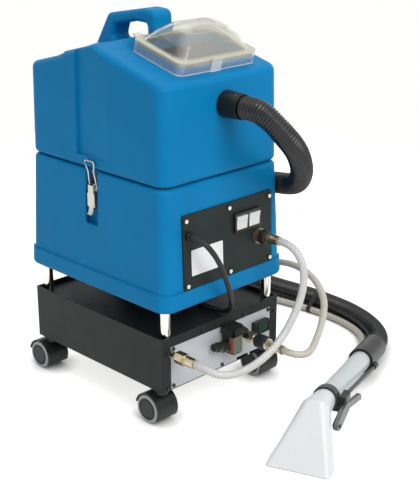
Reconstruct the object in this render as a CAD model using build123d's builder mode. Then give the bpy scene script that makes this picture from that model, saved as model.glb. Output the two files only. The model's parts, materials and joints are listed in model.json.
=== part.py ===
from build123d import *
import os
from math import ceil, cos, hypot, pi, radians, sin, sqrt, tan

# Upholstery cleaning machine: two stacked tanks on a heater trolley, with a hand tool on its hoses.
# Millimetres. X points to the machine's right, its front faces -Y, and the floor is Z = 0.
# The origin is on the floor under the middle of the trolley.

# Clearances
RUN_GAP = 0.05
SLIP_GAP = 0.2
MOVE_GAP = 0.4

# Trolley
BASE_W = 280.0
BASE_D = 339.0
BASE_BOTTOM = 62.0
BASE_TOP = 158.0
BASE_EDGE = 2.5
SHEET = 1.5
LIP = 3.0
TRAY_DEPTH = 8.0
SIDE_BAND = 18.5
TOP_BAND = 17.0
PANEL_SHEET = 2.0
PANEL_LAP = 9.0
SLOT_H = 5.0
SLOT_SPANS = ((37.0, 66.0), (70.0, 103.0))
SCREW_R = 1.5
SCREW_HEAD_R = 3.4
SCREW_HEAD_H = 2.0
SCREW_LEN = 6.0

# Support posts
POST_IN_X = 19.0
POST_IN_Y = 12.5
POST_R = 9.0
POST_WALL = 1.5

# Castors
CASTOR_IN_X = 14.0
CASTOR_IN_Y = 20.5
CASTOR_TRAIL = 11.5
WHEEL_R = 25.0
WHEEL_W = 15.5
WHEEL_EDGE = 1.5
HUB_R = 17.5
WEB_HALF = 6.5
HOOD_GAP = 1.2
HOOD_T = 2.5
STEM_R = 5.0
BOSS_R = 12.0
NUT_R = 9.0
NUT_H = 7.0
AXLE_R = 3.0

# Tanks
TANK_W = 269.4
TANK_D = 344.2
TANK_BOTTOM = 204.0
SEAM_Z = 410.0
SEAM_GAP = 2.0
LOWER_DRAFT = 0.0363
UPPER_DRAFT = 0.0161
TANK_CORNER = 23.0
TANK_WALL = 4.0
PLINTH_TOP = 236.0
PLINTH_OUT = 3.6
PLINTH_EDGE = 8.0
DIVIDER_Y = -19.0
RIDGE_Z = 615.5
ROOF_SLOPE = 0.264
REAR_STEP_Y = 75.0
REAR_STEP = 4.5
ROOF_EDGE = 12.0
SEAM_EDGE = 8.0
RIM_T = 6.0
RIM_IN = 14.0
SEAL_IN = 9.5

# Carrying handle and the hump under it
HANDLE_W = 42.0
HANDLE_OUTLINE = ((120, 588), (117, 600), (88, 646), (0, 662), (-32, 661), (-33, 600), (-30, 588))
HANDLE_HOLE = ((79, 604), (71, 628), (19, 639), (-11, 638), (-11, 604))
HUMP_HALF = 112.0
HUMP_RISE = 12.5
HUMP_FRONT = -34.0
HUMP_REAR = 124.0
HUMP_FRONT_SHARE = 0.16
HUMP_STEP_SHARE = 0.38

# Side recesses of the upper tank: a rear wall, and a floor that runs out to the front
WEDGE_REAR = 42.0
WEDGE_FRONT = -38.0
WEDGE_DEPTH = 5.5
WEDGE_FOOT = 431.0
WEDGE_BACKING = 7.0

# Lid
LID_X = 10.0
LID_Y = -91.5
LID_W = 177.0
LID_L = 117.0
LID_CORNER = 15.0
LID_SKIRT = 22.0
LID_WALL = 2.5
NECK_H = 12.5
NECK_WALL = 3.0
DOME_SECTIONS = ((163, 103, 20, 21), (138, 82, 26, 39), (96, 54, 20, 53), (54, 26, 10, 58.5))
CLIP_X = -10.0
CLIP_W = 23.0
CLIP_T = 2.5

# Vacuum connection
SPIGOT_X = 4.0
SPIGOT_Z = 527.0
HOSE_R = 19.0
HOSE_BORE = 16.0
CUFF_R = 22.5
CUFF_END_R = 20.6
CUFF_LEN = 38.0

# Control panel on the drafted front of the lower tank
PANEL_X = 4.3
PANEL_Z = 300.0
PANEL_W = 209.0
PANEL_H = 126.0
PANEL_T = 3.0
PANEL_SCREW_X = (-93.0, 5.0, 102.0)
PANEL_SCREW_Z = (243.5, 353.5)
BEZEL_X = 46.5
BEZEL_Z = 324.0
BEZEL_W = 63.0
BEZEL_H = 33.5
ROCKER_W = 26.0
ROCKER_H = 23.0
ROCKER_PITCH = 30.0
ROCKER_TILT = 7.0
GLAND_X = -87.4
GLAND_Z = 327.5
GLAND_R = 7.5
COUPLER_X = 76.0
COUPLER_Z = 288.5

# Heater fittings on the trolley front
INLET_X = -119.0
INLET_Z = 128.0
INLET_STUB_R = 6.0
INLET_NUT_R = 7.2
OUTLET_X = 38.0
OUTLET_Z = 117.5
SWITCH_X = 93.0
SWITCH_Z = 112.5
SWITCH_W = 38.0
SWITCH_H = 21.5
SWITCH_DEPTH = 11.0

# Latches
LATCH_Y = 3.5
LATCH_PIVOT = 132.5
LATCH_PIVOT_Z = 384.0
LATCH_RECESS = 126.5
BAIL_WIRE = 1.4
BAIL_TOP_Z = 426.0
BAIL_TOP_X = 139.0

# Hand tool, standing on its mouth
TOOL_X = -75.2
TOOL_Y = -412.1
TOOL_TURN = 21.7
MOUTH_S = 1.5
MOUTH_L = 35.0
MOUTH_W = 104.0
WAND_S = 127.0
WAND_Z = 60.0
WAND_FALL = 0.1205
WAND_R = 18.0
WAND_WALL = 2.5
NECK_S = 118.0
COLLAR_R = 22.0
COLLAR_W = 16.0
TOOL_CUFF_R = 23.0
TOOL_CUFF_START = 334.0
TOOL_CUFF_END = 430.0
WAND_END = 352.0

# Hoses and mains lead
LINK_R = 6.5
SPRAY_R = 6.25
LEAD_R = 4.5
RIB_COUNT = 225
RIB_DEPTH = 1.6
PLAIN_END = 3.0

# Coil of the unseen lead on the tray
COIL_X = 25.0
COIL_Y = 15.0
COIL_R = 68.0
COIL_PITCH = 11.4
COIL_QUARTERS = (12, 13, 12, 13)
TAIL_X = 104.0
TAIL_Y = 71.0
TAIL_R = 37.0
PLUG_Z = 169.0
PLUG_R = 18.5

# Values worked out from the driving dimensions
BASE_FRONT = -BASE_D / 2
POST_X = BASE_W / 2 - POST_IN_X
POST_Y = BASE_D / 2 - POST_IN_Y
CASTOR_X = BASE_W / 2 - CASTOR_IN_X
CASTOR_Y = BASE_D / 2 - CASTOR_IN_Y
BASE_H = BASE_TOP - BASE_BOTTOM
TRAY_Z = BASE_TOP - TRAY_DEPTH
FLOOR_TOP = BASE_BOTTOM + SHEET
PANEL_BACK = BASE_FRONT + SHEET + PANEL_SHEET
WINDOW_W = BASE_W - 2 * SIDE_BAND
WINDOW_TOP = BASE_TOP - TOP_BAND
LOWER_TOP = SEAM_Z - SEAM_GAP / 2
UPPER_BOTTOM = SEAM_Z + SEAM_GAP / 2

os.makedirs("parts", exist_ok=True)


def finish(piece, name):
    """Label a finished piece and write its STEP file."""
    piece.part.label = name
    export_step(piece.part, f"parts/{name}.step")


def front_spot(x, y, z):
    """Plane facing the front at a place on the trolley."""
    return Plane(origin=(x, y, z), x_dir=(1, 0, 0), z_dir=(0, -1, 0))


def rod(plane, radius, length, mode=Mode.ADD):
    """Cylinder standing on a plane."""
    with BuildSketch(plane) as section:
        Circle(radius)
    extrude(section.sketch, amount=length, mode=mode)


def block(plane, width, height, depth, corner=0.0, mode=Mode.ADD):
    """Rectangular block standing on a plane, with rounded corners where asked."""
    with BuildSketch(plane) as section:
        if corner:
            RectangleRounded(width, height, corner)
        else:
            Rectangle(width, height)
    extrude(section.sketch, amount=depth, mode=mode)


def hexagon(plane, across, length):
    """Hexagonal bar standing on a plane."""
    with BuildSketch(plane) as section:
        RegularPolygon(across / sqrt(3), 6)
    extrude(section.sketch, amount=length)


def screw(plane):
    """Round-head screw with its head on the plane and its shank behind it."""
    rod(plane, SCREW_HEAD_R, SCREW_HEAD_H)
    rod(plane, SCREW_R, -SCREW_LEN)


def lower_size(z):
    """Width and depth of the lower tank's drafted wall at a height."""
    grow = 2 * LOWER_DRAFT * (SEAM_Z - z)
    return TANK_W + grow, TANK_D + grow


def upper_size(z):
    """Width and depth of the upper tank's drafted wall at a height."""
    grow = 2 * UPPER_DRAFT * (SEAM_Z - z)
    return TANK_W + grow, TANK_D + grow


def tapered(size_at, z_low, z_high, inset, mode=Mode.ADD):
    """Drafted block between two heights, set in from the tank's wall."""
    sections = []
    for z in (z_low, z_high):
        width, depth = size_at(z)
        with BuildSketch(Plane.XY.offset(z)) as section:
            RectangleRounded(width - 2 * inset, depth - 2 * inset, TANK_CORNER - inset)
        sections.append(section.sketch)
    loft(sections, ruled=True, mode=mode)


def roof_z(y):
    """Height of the gable roof over a place."""
    return RIDGE_Z - ROOF_SLOPE * abs(y)


def gable(drop, mode):
    """Prism under the gable roof, over the whole width, lowered by a drop."""
    reach = TANK_D
    rear = REAR_STEP_Y + REAR_STEP
    with BuildSketch(Plane.YZ) as section:
        Polygon(
            (-reach, 0),
            (-reach, roof_z(reach) - drop),
            (0, RIDGE_Z - drop),
            (REAR_STEP_Y, roof_z(REAR_STEP_Y) - drop),
            (rear, roof_z(rear) - REAR_STEP - drop),
            (reach, roof_z(reach) - REAR_STEP - drop),
            (reach, 0),
            align=None,
        )
    extrude(section.sketch, amount=TANK_W, both=True, mode=mode)


# Trolley screws: places on the lip, on the silver panel and on the side bands
LIP_SCREWS = [(-49, BASE_TOP - 12), (53, BASE_TOP - 12)]
BAND_SCREWS = [(-129, 67), (-129, 131), (131, 67), (131, 129)]
PANEL_SCREWS = [(-115, 136), (-115, 69), (0, 68), (116, 69), (116, 136)]
PANEL_FRONT = BASE_FRONT + SHEET

with BuildPart() as trolley_cover:
    block(Plane.XY.offset(BASE_BOTTOM), BASE_W, BASE_D, BASE_H, BASE_EDGE)
    block(
        Plane.XY.offset(BASE_BOTTOM), BASE_W - 2 * SHEET, BASE_D - 2 * SHEET,
        TRAY_Z - SHEET - BASE_BOTTOM, mode=Mode.SUBTRACT,
    )
    block(Plane.XY.offset(TRAY_Z), BASE_W - 2 * LIP, BASE_D - 2 * LIP, TRAY_DEPTH, mode=Mode.SUBTRACT)
    with Locations((0, BASE_FRONT, BASE_BOTTOM)):
        Box(
            WINDOW_W, 4 * SHEET, WINDOW_TOP - BASE_BOTTOM,
            align=(Align.CENTER, Align.CENTER, Align.MIN), mode=Mode.SUBTRACT,
        )
    for x, z in LIP_SCREWS + BAND_SCREWS:
        rod(front_spot(x, BASE_FRONT, z), SCREW_R + SLIP_GAP, -SHEET, Mode.SUBTRACT)
    rod(front_spot(INLET_X, BASE_FRONT, INLET_Z), INLET_STUB_R + SLIP_GAP, -SHEET, Mode.SUBTRACT)
finish(trolley_cover, "trolley_cover")

with BuildPart() as trolley_floor:
    block(Plane.XY.offset(BASE_BOTTOM), BASE_W - 2 * SHEET, BASE_D - 2 * SHEET, SHEET)
    with Locations(Plane.XY.offset(BASE_BOTTOM)):
        with GridLocations(2 * CASTOR_X, 2 * CASTOR_Y, 2, 2):
            Cylinder(STEM_R + RUN_GAP, 4 * SHEET, mode=Mode.SUBTRACT)
finish(trolley_floor, "trolley_floor")

# Valve place on the silver panel
VALVE_STUB_R = 5.5
VALVE_X = 12.0
VALVE_Z = 135.0

with BuildPart() as heater_panel:
    panel_top = WINDOW_TOP + LIP
    panel_mid = (FLOOR_TOP + panel_top) / 2
    block(
        front_spot(0, PANEL_BACK, panel_mid), WINDOW_W + PANEL_LAP, panel_top - FLOOR_TOP, PANEL_SHEET,
    )
    for x, z in PANEL_SCREWS:
        rod(front_spot(x, PANEL_BACK, z), SCREW_R + SLIP_GAP, PANEL_SHEET, Mode.SUBTRACT)
    rod(front_spot(INLET_X, PANEL_BACK, INLET_Z), INLET_STUB_R + SLIP_GAP, PANEL_SHEET, Mode.SUBTRACT)
    rod(front_spot(VALVE_X, PANEL_BACK, VALVE_Z), VALVE_STUB_R + SLIP_GAP, PANEL_SHEET, Mode.SUBTRACT)
    block(
        front_spot(SWITCH_X, PANEL_BACK, SWITCH_Z), SWITCH_W - 4, SWITCH_H - 4, PANEL_SHEET,
        mode=Mode.SUBTRACT,
    )
    for left, right in SLOT_SPANS:
        with Locations(((left + right) / 2, PANEL_BACK, FLOOR_TOP)):
            Box(right - left, 4 * PANEL_SHEET, 2 * SLOT_H, mode=Mode.SUBTRACT)
finish(heater_panel, "heater_panel")

with BuildPart() as trolley_screws:
    for x, z in LIP_SCREWS + BAND_SCREWS:
        screw(front_spot(x, BASE_FRONT, z))
    for x, z in PANEL_SCREWS:
        screw(front_spot(x, PANEL_FRONT, z))
finish(trolley_screws, "trolley_screws")

with BuildPart() as support_posts:
    with BuildSketch(Plane.XY.offset(TRAY_Z)):
        with GridLocations(2 * POST_X, 2 * POST_Y, 2, 2):
            Circle(POST_R)
            Circle(POST_R - POST_WALL, mode=Mode.SUBTRACT)
    extrude(amount=TANK_BOTTOM - TRAY_Z)
finish(support_posts, "support_posts")

# Castors: a hood with stem and axle, and a pair of wheels on the axle
CASTORS = {
    "front_left": (-CASTOR_X, -CASTOR_Y),
    "front_right": (CASTOR_X, -CASTOR_Y),
    "rear_left": (-CASTOR_X, CASTOR_Y),
    "rear_right": (CASTOR_X, CASTOR_Y),
}
WHEEL_INNER = WEB_HALF + MOVE_GAP
AXLE_HALF = WHEEL_INNER + WHEEL_W - 2.0
HOOD_R = WHEEL_R + HOOD_GAP + HOOD_T
HOOD_BACK = 12
HOOD_FRONT = 212
BOSS_BOTTOM = WHEEL_R + WHEEL_R + HOOD_GAP + HOOD_T / 2

for corner, (castor_x, castor_y) in CASTORS.items():
    wheel_y = castor_y + CASTOR_TRAIL
    side = Plane(origin=(castor_x, wheel_y, WHEEL_R), x_dir=(0, 1, 0), z_dir=(1, 0, 0))

    with BuildPart() as castor_hood:
        with BuildSketch(side):
            Circle(WHEEL_R - 2.0)
            with BuildLine():
                CenterArc((0, 0), HOOD_R, 0, 180)
                Line((-HOOD_R, 0), (HOOD_R, 0))
            make_face()
        extrude(amount=WEB_HALF, both=True)
        with BuildSketch(side):
            with BuildLine():
                CenterArc((0, 0), HOOD_R, HOOD_BACK, HOOD_FRONT - HOOD_BACK)
                CenterArc((0, 0), HOOD_R - HOOD_T, HOOD_BACK, HOOD_FRONT - HOOD_BACK)
                for angle in (HOOD_BACK, HOOD_FRONT):
                    turn = radians(angle)
                    inner = HOOD_R - HOOD_T
                    Line(
                        (HOOD_R * cos(turn), HOOD_R * sin(turn)),
                        (inner * cos(turn), inner * sin(turn)),
                    )
            make_face()
        extrude(amount=WHEEL_INNER + WHEEL_W, both=True)
        rod(Plane((castor_x, castor_y, BOSS_BOTTOM)), BOSS_R, BASE_BOTTOM - MOVE_GAP - BOSS_BOTTOM)
        rod(Plane((castor_x, castor_y, BOSS_BOTTOM)), STEM_R, FLOOR_TOP + NUT_H - BOSS_BOTTOM)
        hexagon(Plane((castor_x, castor_y, FLOOR_TOP + MOVE_GAP)), 2 * NUT_R, NUT_H - 1.0)
        with BuildSketch(side):
            Circle(AXLE_R)
        extrude(amount=AXLE_HALF, both=True)
    finish(castor_hood, f"castor_hood_{corner}")

    with BuildPart() as castor_wheels:
        for out in (1, -1):
            inner_face = Plane(
                origin=(castor_x + out * WHEEL_INNER, wheel_y, WHEEL_R), x_dir=(0, 1, 0), z_dir=(out, 0, 0),
            )
            rod(inner_face, WHEEL_R, WHEEL_W)
        chamfer(castor_wheels.edges().filter_by(GeomType.CIRCLE), WHEEL_EDGE)
        for out in (1, -1):
            inner_face = Plane(
                origin=(castor_x + out * WHEEL_INNER, wheel_y, WHEEL_R), x_dir=(0, 1, 0), z_dir=(out, 0, 0),
            )
            with BuildSketch(inner_face.offset(WHEEL_W - 1.0)):
                Circle(HUB_R)
                Circle(HUB_R - 1.5, mode=Mode.SUBTRACT)
            extrude(amount=1.0, mode=Mode.SUBTRACT)
            rod(inner_face, AXLE_R + RUN_GAP, WHEEL_W - 1.6, Mode.SUBTRACT)
    finish(castor_wheels, f"castor_wheels_{corner}")

# Heater vessel on two feet inside the trolley
VESSEL_R = 36.0
VESSEL_LEN = 170.0
VESSEL_Y = 35.0
VESSEL_Z = FLOOR_TOP + 44.0

with BuildPart() as heater_vessel:
    with BuildSketch(Plane.YZ.offset(-VESSEL_LEN / 2)):
        with Locations((VESSEL_Y, VESSEL_Z)):
            Circle(VESSEL_R)
    extrude(amount=VESSEL_LEN)
    fillet(heater_vessel.edges().filter_by(GeomType.CIRCLE), 8.0)
    for x in (-VESSEL_LEN / 3, VESSEL_LEN / 3):
        with Locations((x, VESSEL_Y, FLOOR_TOP)):
            Box(14, 56, VESSEL_Z - FLOOR_TOP, align=(Align.CENTER, Align.CENTER, Align.MIN))
finish(heater_vessel, "heater_vessel")

with BuildPart() as inlet_fitting:
    rod(front_spot(INLET_X, PANEL_BACK + 8.0, INLET_Z), INLET_STUB_R, 10.0)
    rod(front_spot(INLET_X, PANEL_BACK, INLET_Z), INLET_NUT_R, -4.0)
    rod(front_spot(INLET_X, PANEL_FRONT, INLET_Z), 5.0, 15.0)
    hexagon(front_spot(INLET_X, PANEL_FRONT - 15.0, INLET_Z), 19.0, 20.0)
    rod(front_spot(INLET_X, PANEL_FRONT - 35.0, INLET_Z), 8.6, 21.0)
    inlet_end = PANEL_FRONT - 56.0
finish(inlet_fitting, "inlet_fitting")

# Solenoid valve: black body on the panel, coil block hung under it with its cable plug
BODY_H = 18.0

with BuildPart() as solenoid_body:
    rod(front_spot(VALVE_X, PANEL_BACK + 6.0, VALVE_Z), VALVE_STUB_R, 12.0)
    hexagon(front_spot(VALVE_X, PANEL_BACK, VALVE_Z), 22.0, -5.0)
    block(front_spot(VALVE_X, BASE_FRONT, VALVE_Z), 34.0, BODY_H, 20.5, 5.0)
    block(front_spot(VALVE_X + 4.0, PANEL_FRONT - 22.0, VALVE_Z - 1.0), 26.0, BODY_H - 4.0, 6.0, 4.0)
    rod(front_spot(VALVE_X - 16.0, PANEL_FRONT - 8.0, VALVE_Z + 6.0), 5.0, 8.0)
    rod(front_spot(OUTLET_X - 4.0, PANEL_FRONT - 6.0, OUTLET_Z + 7.0), 9.0, 16.0)
finish(solenoid_body, "solenoid_body")

COIL_TOP = VALVE_Z - BODY_H / 2
COIL_BLOCK_X = 10.5

with BuildPart() as solenoid_coil:
    block(Plane((COIL_BLOCK_X, PANEL_FRONT - 15.0, COIL_TOP - 30.0)), 24.0, 26.0, 30.0, 2.0)
    block(Plane((COIL_BLOCK_X, PANEL_FRONT - 15.0, COIL_TOP - 33.0)), 18.0, 22.0, 3.0)
    plug_axis = Plane(
        origin=(COIL_BLOCK_X - 10.0, PANEL_FRONT - 12.0, COIL_TOP - 20.0),
        x_dir=(0, 1, 0), z_dir=(-1, 0, 0.25),
    )
    rod(plug_axis, 10.0, 12.0)
    rod(plug_axis.offset(12.0), 8.5, 14.0)
    rod(plug_axis.offset(26.0), 7.0, 8.0)
finish(solenoid_coil, "solenoid_coil")

# Outlet coupling: brass stem from the valve body, black release sleeve, brass mouth
STEM_START = PANEL_FRONT - 22.0
SLEEVE_START = STEM_START - 26.0
SLEEVE_LEN = 20.0
SLEEVE_TRAVEL = 4.0
OUTLET_MOUTH = SLEEVE_START - SLEEVE_LEN - 6.0
OUTLET_BORE = 4.6

with BuildPart() as outlet_fitting:
    flats = STEM_START - SLEEVE_START - SLEEVE_TRAVEL - 2.0
    hexagon(front_spot(OUTLET_X, STEM_START - 1.0, OUTLET_Z), 17.0, flats)
    rod(front_spot(OUTLET_X, STEM_START, OUTLET_Z), 8.2, STEM_START - OUTLET_MOUTH)
    rod(front_spot(OUTLET_X, SLEEVE_START - SLEEVE_LEN - 1.0, OUTLET_Z), 10.0, 5.0)
    rod(front_spot(OUTLET_X, OUTLET_MOUTH, OUTLET_Z), OUTLET_BORE, -14.0, Mode.SUBTRACT)
finish(outlet_fitting, "outlet_fitting")

with BuildPart() as outlet_sleeve:
    rod(front_spot(OUTLET_X, SLEEVE_START, OUTLET_Z), 12.5, SLEEVE_LEN)
    fillet(outlet_sleeve.edges().filter_by(GeomType.CIRCLE), 1.2)
    for index in range(3):
        with BuildSketch(front_spot(OUTLET_X, SLEEVE_START - 5.0 - 5.0 * index, OUTLET_Z)):
            Circle(13.0)
            Circle(11.9, mode=Mode.SUBTRACT)
        extrude(amount=1.6, mode=Mode.SUBTRACT)
    rod(front_spot(OUTLET_X, SLEEVE_START, OUTLET_Z), 8.2 + RUN_GAP, SLEEVE_LEN, Mode.SUBTRACT)
finish(outlet_sleeve, "outlet_sleeve")

SPRAY_PLUG_END = OUTLET_MOUTH - 32.0

with BuildPart() as spray_plug:
    rod(front_spot(OUTLET_X, OUTLET_MOUTH + 8.0, OUTLET_Z), OUTLET_BORE - SLIP_GAP, 8.0)
    hexagon(front_spot(OUTLET_X, OUTLET_MOUTH - 0.5, OUTLET_Z), 13.0, 9.0)
    rod(front_spot(OUTLET_X, OUTLET_MOUTH, OUTLET_Z), 4.4, 16.0)
    rod(front_spot(OUTLET_X, SPRAY_PLUG_END + 18.0, OUTLET_Z), 8.4, 18.0)
finish(spray_plug, "spray_plug")

# Lit heater switch
with BuildPart() as heater_switch_frame:
    block(front_spot(SWITCH_X, PANEL_FRONT, SWITCH_Z), SWITCH_W, SWITCH_H, SWITCH_DEPTH, 1.5)
    block(front_spot(SWITCH_X, PANEL_FRONT, SWITCH_Z), SWITCH_W - 4.6, SWITCH_H - 4.6, -18.0)
    block(
        front_spot(SWITCH_X, PANEL_FRONT - SWITCH_DEPTH, SWITCH_Z), SWITCH_W - 8.0, SWITCH_H - 5.0,
        -SWITCH_DEPTH - 10.0, mode=Mode.SUBTRACT,
    )
finish(heater_switch_frame, "heater_switch_frame")


ROCKER_EDGE = 5.2
ROCKER_DIP = 4.4
ROCKER_SHOULDER = 0.5
ROCKER_BACK = -6.0
ROCKER_SWING = 1.2


def rocker(plane, width, height):
    """Rocker seen end on: two facets over a round back, tilted about its pivot line."""
    half = height / 2
    turn = radians(ROCKER_TILT)
    along = plane.y_dir * cos(turn) + plane.z_dir * sin(turn)
    with BuildSketch(Plane(origin=plane.origin, x_dir=along, z_dir=plane.x_dir)) as outline:
        with BuildLine():
            Polyline(
                (-half, ROCKER_SHOULDER), (-half, ROCKER_EDGE), (0, ROCKER_DIP), (half, ROCKER_EDGE),
                (half, ROCKER_SHOULDER),
            )
            ThreePointArc((half, ROCKER_SHOULDER), (0, ROCKER_BACK), (-half, ROCKER_SHOULDER))
        make_face()
    extrude(outline.sketch, amount=width / 2, both=True)


with BuildPart() as heater_rocker:
    upright = Plane(
        origin=(SWITCH_X, PANEL_FRONT - SWITCH_DEPTH + 5.0, SWITCH_Z), x_dir=(0, 0, 1), z_dir=(0, -1, 0),
    )
    rocker(upright, SWITCH_H - 5.0 - 2 * MOVE_GAP, SWITCH_W - 8.0 - 2 * ROCKER_SWING)
finish(heater_rocker, "heater_rocker")

# Lower tank
RECESS_FOOT = 316.0
RECESS_W = 31.0

with BuildPart() as solution_tank:
    tapered(lower_size, TANK_BOTTOM, LOWER_TOP, 0.0)
    tapered(lower_size, TANK_BOTTOM, PLINTH_TOP, -PLINTH_OUT)
    fillet(solution_tank.edges().group_by(Axis.Z)[0], PLINTH_EDGE)
    fillet(solution_tank.edges().group_by(Axis.Z)[-1], SEAM_EDGE)
    tapered(lower_size, TANK_BOTTOM + 6.0, LOWER_TOP - RIM_T, TANK_WALL, Mode.SUBTRACT)
    tapered(lower_size, LOWER_TOP - RIM_T, LOWER_TOP, RIM_IN, Mode.SUBTRACT)
    divider_h = LOWER_TOP - TANK_BOTTOM - 8.0
    with Locations((0, DIVIDER_Y, LOWER_TOP)):
        Box(TANK_W - TANK_WALL, TANK_WALL, divider_h, align=(Align.CENTER, Align.CENTER, Align.MAX))
    for out in (1, -1):
        with Locations((out * (LATCH_RECESS - 2.0), LATCH_Y, LOWER_TOP)):
            Box(
                12.0, RECESS_W + 12.0, LOWER_TOP - RECESS_FOOT + 8.0,
                align=(Align.CENTER, Align.CENTER, Align.MAX),
            )
        with Locations((out * (LATCH_RECESS + 15.0), LATCH_Y, LOWER_TOP)):
            Box(
                30.0, RECESS_W, LOWER_TOP - RECESS_FOOT,
                align=(Align.CENTER, Align.CENTER, Align.MAX), mode=Mode.SUBTRACT,
            )
    with Locations((PANEL_X, -TANK_D / 2, PANEL_Z)):
        Box(PANEL_W - 11.0, 40.0, PANEL_H - 26.0, mode=Mode.SUBTRACT)
finish(solution_tank, "solution_tank")


def lower_front(z):
    """Y of the lower tank's front wall at a height."""
    return -lower_size(z)[1] / 2


panel_face = Plane(
    origin=(PANEL_X, lower_front(PANEL_Z), PANEL_Z), x_dir=(1, 0, 0), z_dir=(0, -1, LOWER_DRAFT),
)
panel_front = panel_face.offset(PANEL_T)


def panel_spot(x, z, out=0.0):
    """Plane on the control panel's front, at a place and a distance out of it."""
    origin = panel_front.from_local_coords(Vector(x - PANEL_X, z - PANEL_Z, out))
    return Plane(origin=origin, x_dir=(1, 0, 0), z_dir=panel_front.z_dir)


panel_screw_places = [(x, z) for x in PANEL_SCREW_X for z in PANEL_SCREW_Z]
COUPLER_STUB_R = 8.0
PANEL_BOSS_R = 5.0
PANEL_BOSS_H = 0.8

with BuildPart() as control_panel:
    block(panel_face, PANEL_W, PANEL_H, PANEL_T, 2.0)
    for x, z in panel_screw_places:
        rod(panel_spot(x, z), PANEL_BOSS_R, PANEL_BOSS_H)
        rod(panel_spot(x, z, PANEL_BOSS_H), SCREW_R + SLIP_GAP, -PANEL_T - PANEL_BOSS_H, Mode.SUBTRACT)
    block(
        panel_spot(BEZEL_X, BEZEL_Z), BEZEL_W - 4.0 + 2 * SLIP_GAP, BEZEL_H - 6.0 + 2 * SLIP_GAP, -PANEL_T,
        mode=Mode.SUBTRACT,
    )
    rod(panel_spot(GLAND_X, GLAND_Z), GLAND_R - 1.5 + SLIP_GAP, -PANEL_T, Mode.SUBTRACT)
    rod(panel_spot(COUPLER_X, COUPLER_Z), COUPLER_STUB_R + SLIP_GAP, -PANEL_T, Mode.SUBTRACT)
finish(control_panel, "control_panel")

with BuildPart() as panel_screws:
    for x, z in panel_screw_places:
        head = panel_spot(x, z, PANEL_BOSS_H)
        rod(head, SCREW_HEAD_R, SCREW_HEAD_H)
        rod(head.offset(SCREW_HEAD_H), SCREW_R, -SCREW_HEAD_H / 2, Mode.SUBTRACT)
        rod(head, SCREW_R, -PANEL_T - PANEL_BOSS_H)
finish(panel_screws, "panel_screws")

BEZEL_OUT = 5.0
ROCKER_DEPTH = 14.0

with BuildPart() as switch_bezel:
    block(panel_spot(BEZEL_X, BEZEL_Z), BEZEL_W, BEZEL_H, BEZEL_OUT, 3.0)
    block(panel_spot(BEZEL_X, BEZEL_Z), BEZEL_W - 4.0, BEZEL_H - 6.0, -PANEL_T - 14.0)
    for step in (-0.5, 0.5):
        block(
            panel_spot(BEZEL_X + step * ROCKER_PITCH, BEZEL_Z, BEZEL_OUT), ROCKER_W,
            ROCKER_H + 2 * ROCKER_SWING, -ROCKER_DEPTH, mode=Mode.SUBTRACT,
        )
finish(switch_bezel, "switch_bezel")

for name, step in (("vacuum_rocker", -0.5), ("pump_rocker", 0.5)):
    with BuildPart() as rocker_piece:
        rocker(
            panel_spot(BEZEL_X + step * ROCKER_PITCH, BEZEL_Z, 0.5), ROCKER_W - 2 * MOVE_GAP, ROCKER_H,
        )
    finish(rocker_piece, name)

GLAND_LEN = 6.0

with BuildPart() as cable_gland:
    rod(panel_spot(GLAND_X, GLAND_Z), GLAND_R, GLAND_LEN)
    fillet(cable_gland.edges().filter_by(GeomType.CIRCLE).sort_by(Axis.Y)[:1], 2.0)
    rod(panel_spot(GLAND_X, GLAND_Z), GLAND_R - 1.5, -PANEL_T - 8.0)
finish(cable_gland, "cable_gland")

# Hose coupling on the panel: flange ring and stem, sprung sleeve, then the plug of the link hose
COUPLER_RING_R = 14.0
COUPLER_RING_T = 2.0
COUPLER_STEM_R = 8.2
COUPLER_SLEEVE_START = COUPLER_RING_T + 4.8
COUPLER_SLEEVE_LEN = 14.0
COUPLER_NOSE = COUPLER_SLEEVE_START + COUPLER_SLEEVE_LEN + 3.0
LINK_PLUG_END = COUPLER_NOSE + 24.0

with BuildPart() as panel_coupler:
    rod(panel_spot(COUPLER_X, COUPLER_Z), COUPLER_RING_R, COUPLER_RING_T)
    rod(panel_spot(COUPLER_X, COUPLER_Z), COUPLER_STUB_R, -PANEL_T - 16.0)
    rod(panel_spot(COUPLER_X, COUPLER_Z), COUPLER_STEM_R, COUPLER_NOSE)
    rod(panel_spot(COUPLER_X, COUPLER_Z, COUPLER_NOSE), 4.6, -12.0, Mode.SUBTRACT)
finish(panel_coupler, "panel_coupler")

with BuildPart() as coupler_sleeve:
    rod(panel_spot(COUPLER_X, COUPLER_Z, COUPLER_SLEEVE_START), 12.0, COUPLER_SLEEVE_LEN)
    fillet(coupler_sleeve.edges().filter_by(GeomType.CIRCLE), 1.2)
    rod(
        panel_spot(COUPLER_X, COUPLER_Z, COUPLER_SLEEVE_START), COUPLER_STEM_R + RUN_GAP, COUPLER_SLEEVE_LEN,
        Mode.SUBTRACT,
    )
finish(coupler_sleeve, "coupler_sleeve")

with BuildPart() as link_plug:
    rod(panel_spot(COUPLER_X, COUPLER_Z, COUPLER_NOSE), 4.6 - SLIP_GAP, -8.0)
    hexagon(panel_spot(COUPLER_X, COUPLER_Z, COUPLER_NOSE), 15.0, 8.0)
    rod(panel_spot(COUPLER_X, COUPLER_Z, COUPLER_NOSE + 8.0), 8.6, LINK_PLUG_END - COUPLER_NOSE - 8.0)
finish(link_plug, "link_plug")

# Vacuum motor and pump inside the front bay of the lower tank
BAY_FLOOR = TANK_BOTTOM + 6.0

with BuildPart() as vacuum_motor:
    rod(Plane((-55.0, -90.0, BAY_FLOOR)), 52.0, 22.0)
    rod(Plane((-55.0, -90.0, BAY_FLOOR + 22.0)), 62.0, 38.0)
    rod(Plane((-55.0, -90.0, BAY_FLOOR + 60.0)), 45.0, 75.0)
    rod(Plane((-55.0, -90.0, BAY_FLOOR + 135.0)), 19.0, 58.0)
finish(vacuum_motor, "vacuum_motor")

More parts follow.
